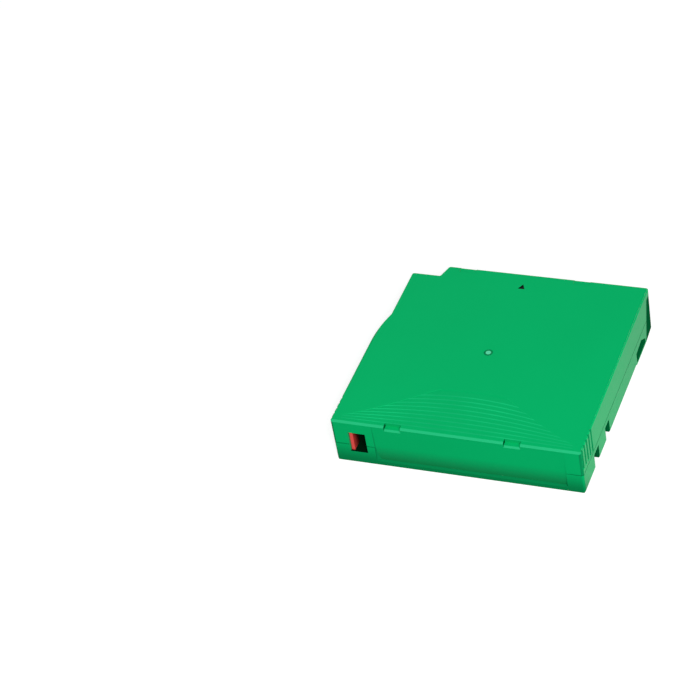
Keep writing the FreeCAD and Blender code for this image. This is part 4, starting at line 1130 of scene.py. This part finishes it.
@dataclass
class Studio:
    """Camera, lights, pale floor and white surround.

    Args:
        place: camera position in metres.
        azimuth: heading of the view, degrees from +Y towards -X.
        elevation: how far the view looks down, degrees.
        roll: turn about the view's own axis, degrees.
        lens: focal length in millimetres on a 36 mm sensor.
        surround: strength of the surround's light.
        bounce: how much light the floor throws back on the cartridge.
        floor_tone: share of the floor's look that takes shadow.
        floor_glow: share that doesn't.
        lamps: the soft lights.
    """

    place: tuple[float, float, float] = (0.311698, -0.727291, 0.697179)
    azimuth: float = 27.304
    elevation: float = 39.876
    roll: float = -11.2916
    lens: float = 130.4
    surround: float = 0.25
    bounce: float = 0.12
    floor_tone: float = 0.4
    floor_glow: float = 0.72
    lamps: tuple[Lamp, ...] = (
        Lamp("key", (0.56, -1.04, 1.07), (0.8, 0.8), 28.6),
        Lamp("side", (0.2, -0.045, 0.02), (0.06, 0.03), 0.095),
        Lamp("rear", (-0.95, 0.95, 0.12), (0.9, 0.3), 5.0),
    )

    def build(self) -> None:
        """Sets up everything around the cartridge."""
        self.add_camera()
        self.add_floor()
        self.set_world()
        for lamp in self.lamps:
            lamp.build()
        bpy.context.scene.view_settings.view_transform = "Standard"

    def add_camera(self) -> None:
        """Creates the camera and makes it the scene's."""
        data = bpy.data.cameras.new("camera")
        data.lens = self.lens
        data.sensor_width = 36.0
        data.clip_start = 0.01
        data.clip_end = 20.0
        camera = bpy.data.objects.new("camera", data)
        turn = (
            Matrix.Rotation(math.radians(self.azimuth), 4, "Z")
            @ Matrix.Rotation(math.radians(90.0 - self.elevation), 4, "X")
            @ Matrix.Rotation(math.radians(self.roll), 4, "Z")
        )
        camera.matrix_world = Matrix.Translation(self.place) @ turn
        bpy.context.scene.collection.objects.link(camera)
        bpy.context.scene.camera = camera

    def add_floor(self) -> None:
        """Lays a plain pale floor that shows white to the camera and keeps the cartridge's shadow."""
        shape = bmesh.new()
        bmesh.ops.create_grid(shape, x_segments=1, y_segments=1, size=3.0)
        mesh = bpy.data.meshes.new("floor")
        shape.to_mesh(mesh)
        shape.free()
        floor = bpy.data.objects.new("floor", mesh)
        bpy.context.scene.collection.objects.link(floor)
        shader = Shader("pale_floor")
        shader.set("Base Color", (self.floor_tone, self.floor_tone, self.floor_tone, 1.0))
        shader.set("Roughness", 0.9)
        shader.set("Specular IOR Level", 0.0)
        shader.set("Emission Color", (1.0, 1.0, 1.0, 1.0))
        shader.set("Emission Strength", self.floor_glow)
        plain = shader.add("ShaderNodeBsdfDiffuse")
        plain.inputs["Color"].default_value = (self.bounce, self.bounce, self.bounce, 1.0)
        mix = shader.add("ShaderNodeMixShader")
        output = next(node for node in shader.nodes if node.type == "OUTPUT_MATERIAL")
        shader.links.new(Studio.seen(shader.material.node_tree), mix.inputs["Fac"])
        shader.links.new(plain.outputs["BSDF"], mix.inputs[1])
        shader.links.new(shader.surface.outputs["BSDF"], mix.inputs[2])
        shader.links.new(mix.outputs["Shader"], output.inputs["Surface"])
        mesh.materials.append(shader.material)

    @staticmethod
    def seen(tree: bpy.types.NodeTree) -> bpy.types.NodeSocket:
        """Tells what is seen, directly, in a reflection or through something clear, from what only lights.

        Args:
            tree: the node tree to add to.

        Returns:
            An output that is 1 for what is seen.
        """
        path = tree.nodes.new("ShaderNodeLightPath")
        total = path.outputs["Is Camera Ray"]
        for name in ("Is Glossy Ray", "Is Transmission Ray"):
            either = tree.nodes.new("ShaderNodeMath")
            either.operation = "MAXIMUM"
            tree.links.new(total, either.inputs[0])
            tree.links.new(path.outputs[name], either.inputs[1])
            total = either.outputs[0]
        return total

    def set_world(self) -> None:
        """Gives the surround an even white, seen at full strength and lighting the object gently."""
        world = bpy.data.worlds.new("surround")
        bpy.context.scene.world = world
        world.use_nodes = True
        tree = world.node_tree
        tree.nodes.clear()
        soft = tree.nodes.new("ShaderNodeBackground")
        soft.inputs["Strength"].default_value = self.surround
        shown = tree.nodes.new("ShaderNodeBackground")
        shown.inputs["Strength"].default_value = 1.0
        for node in (soft, shown):
            node.inputs["Color"].default_value = (1.0, 1.0, 1.0, 1.0)
        mix = tree.nodes.new("ShaderNodeMixShader")
        output = tree.nodes.new("ShaderNodeOutputWorld")
        tree.links.new(Studio.seen(tree), mix.inputs["Fac"])
        tree.links.new(soft.outputs["Background"], mix.inputs[1])
        tree.links.new(shown.outputs["Background"], mix.inputs[2])
        tree.links.new(mix.outputs["Shader"], output.inputs["Surface"])


def main() -> None:
    """Builds the scene in order and reports each piece."""
    logging.basicConfig(level=logging.INFO, format="%(name)s: %(message)s")
    for piece in Case().build():
        log.info("%s: %d faces", piece.name, len(piece.data.polygons))
    for coil in (
        Coil("door_spring", "door_slide", 1, True, 0.44, wire=0.36, turns=11),
        Coil("brake_spring", "brake_lift", 2, False, 0.85, wire=0.8, turns=6, steps=40, sides=14),
    ):
        log.info("%s: %d faces", coil.node, len(coil.build().data.polygons))
    Reel().dress()
    Leader().dress()
    MemoryTag().dress()
    log.info("reel, leader and memory tag dressed")
    Studio().build()


if __name__ == "__main__":
    main()
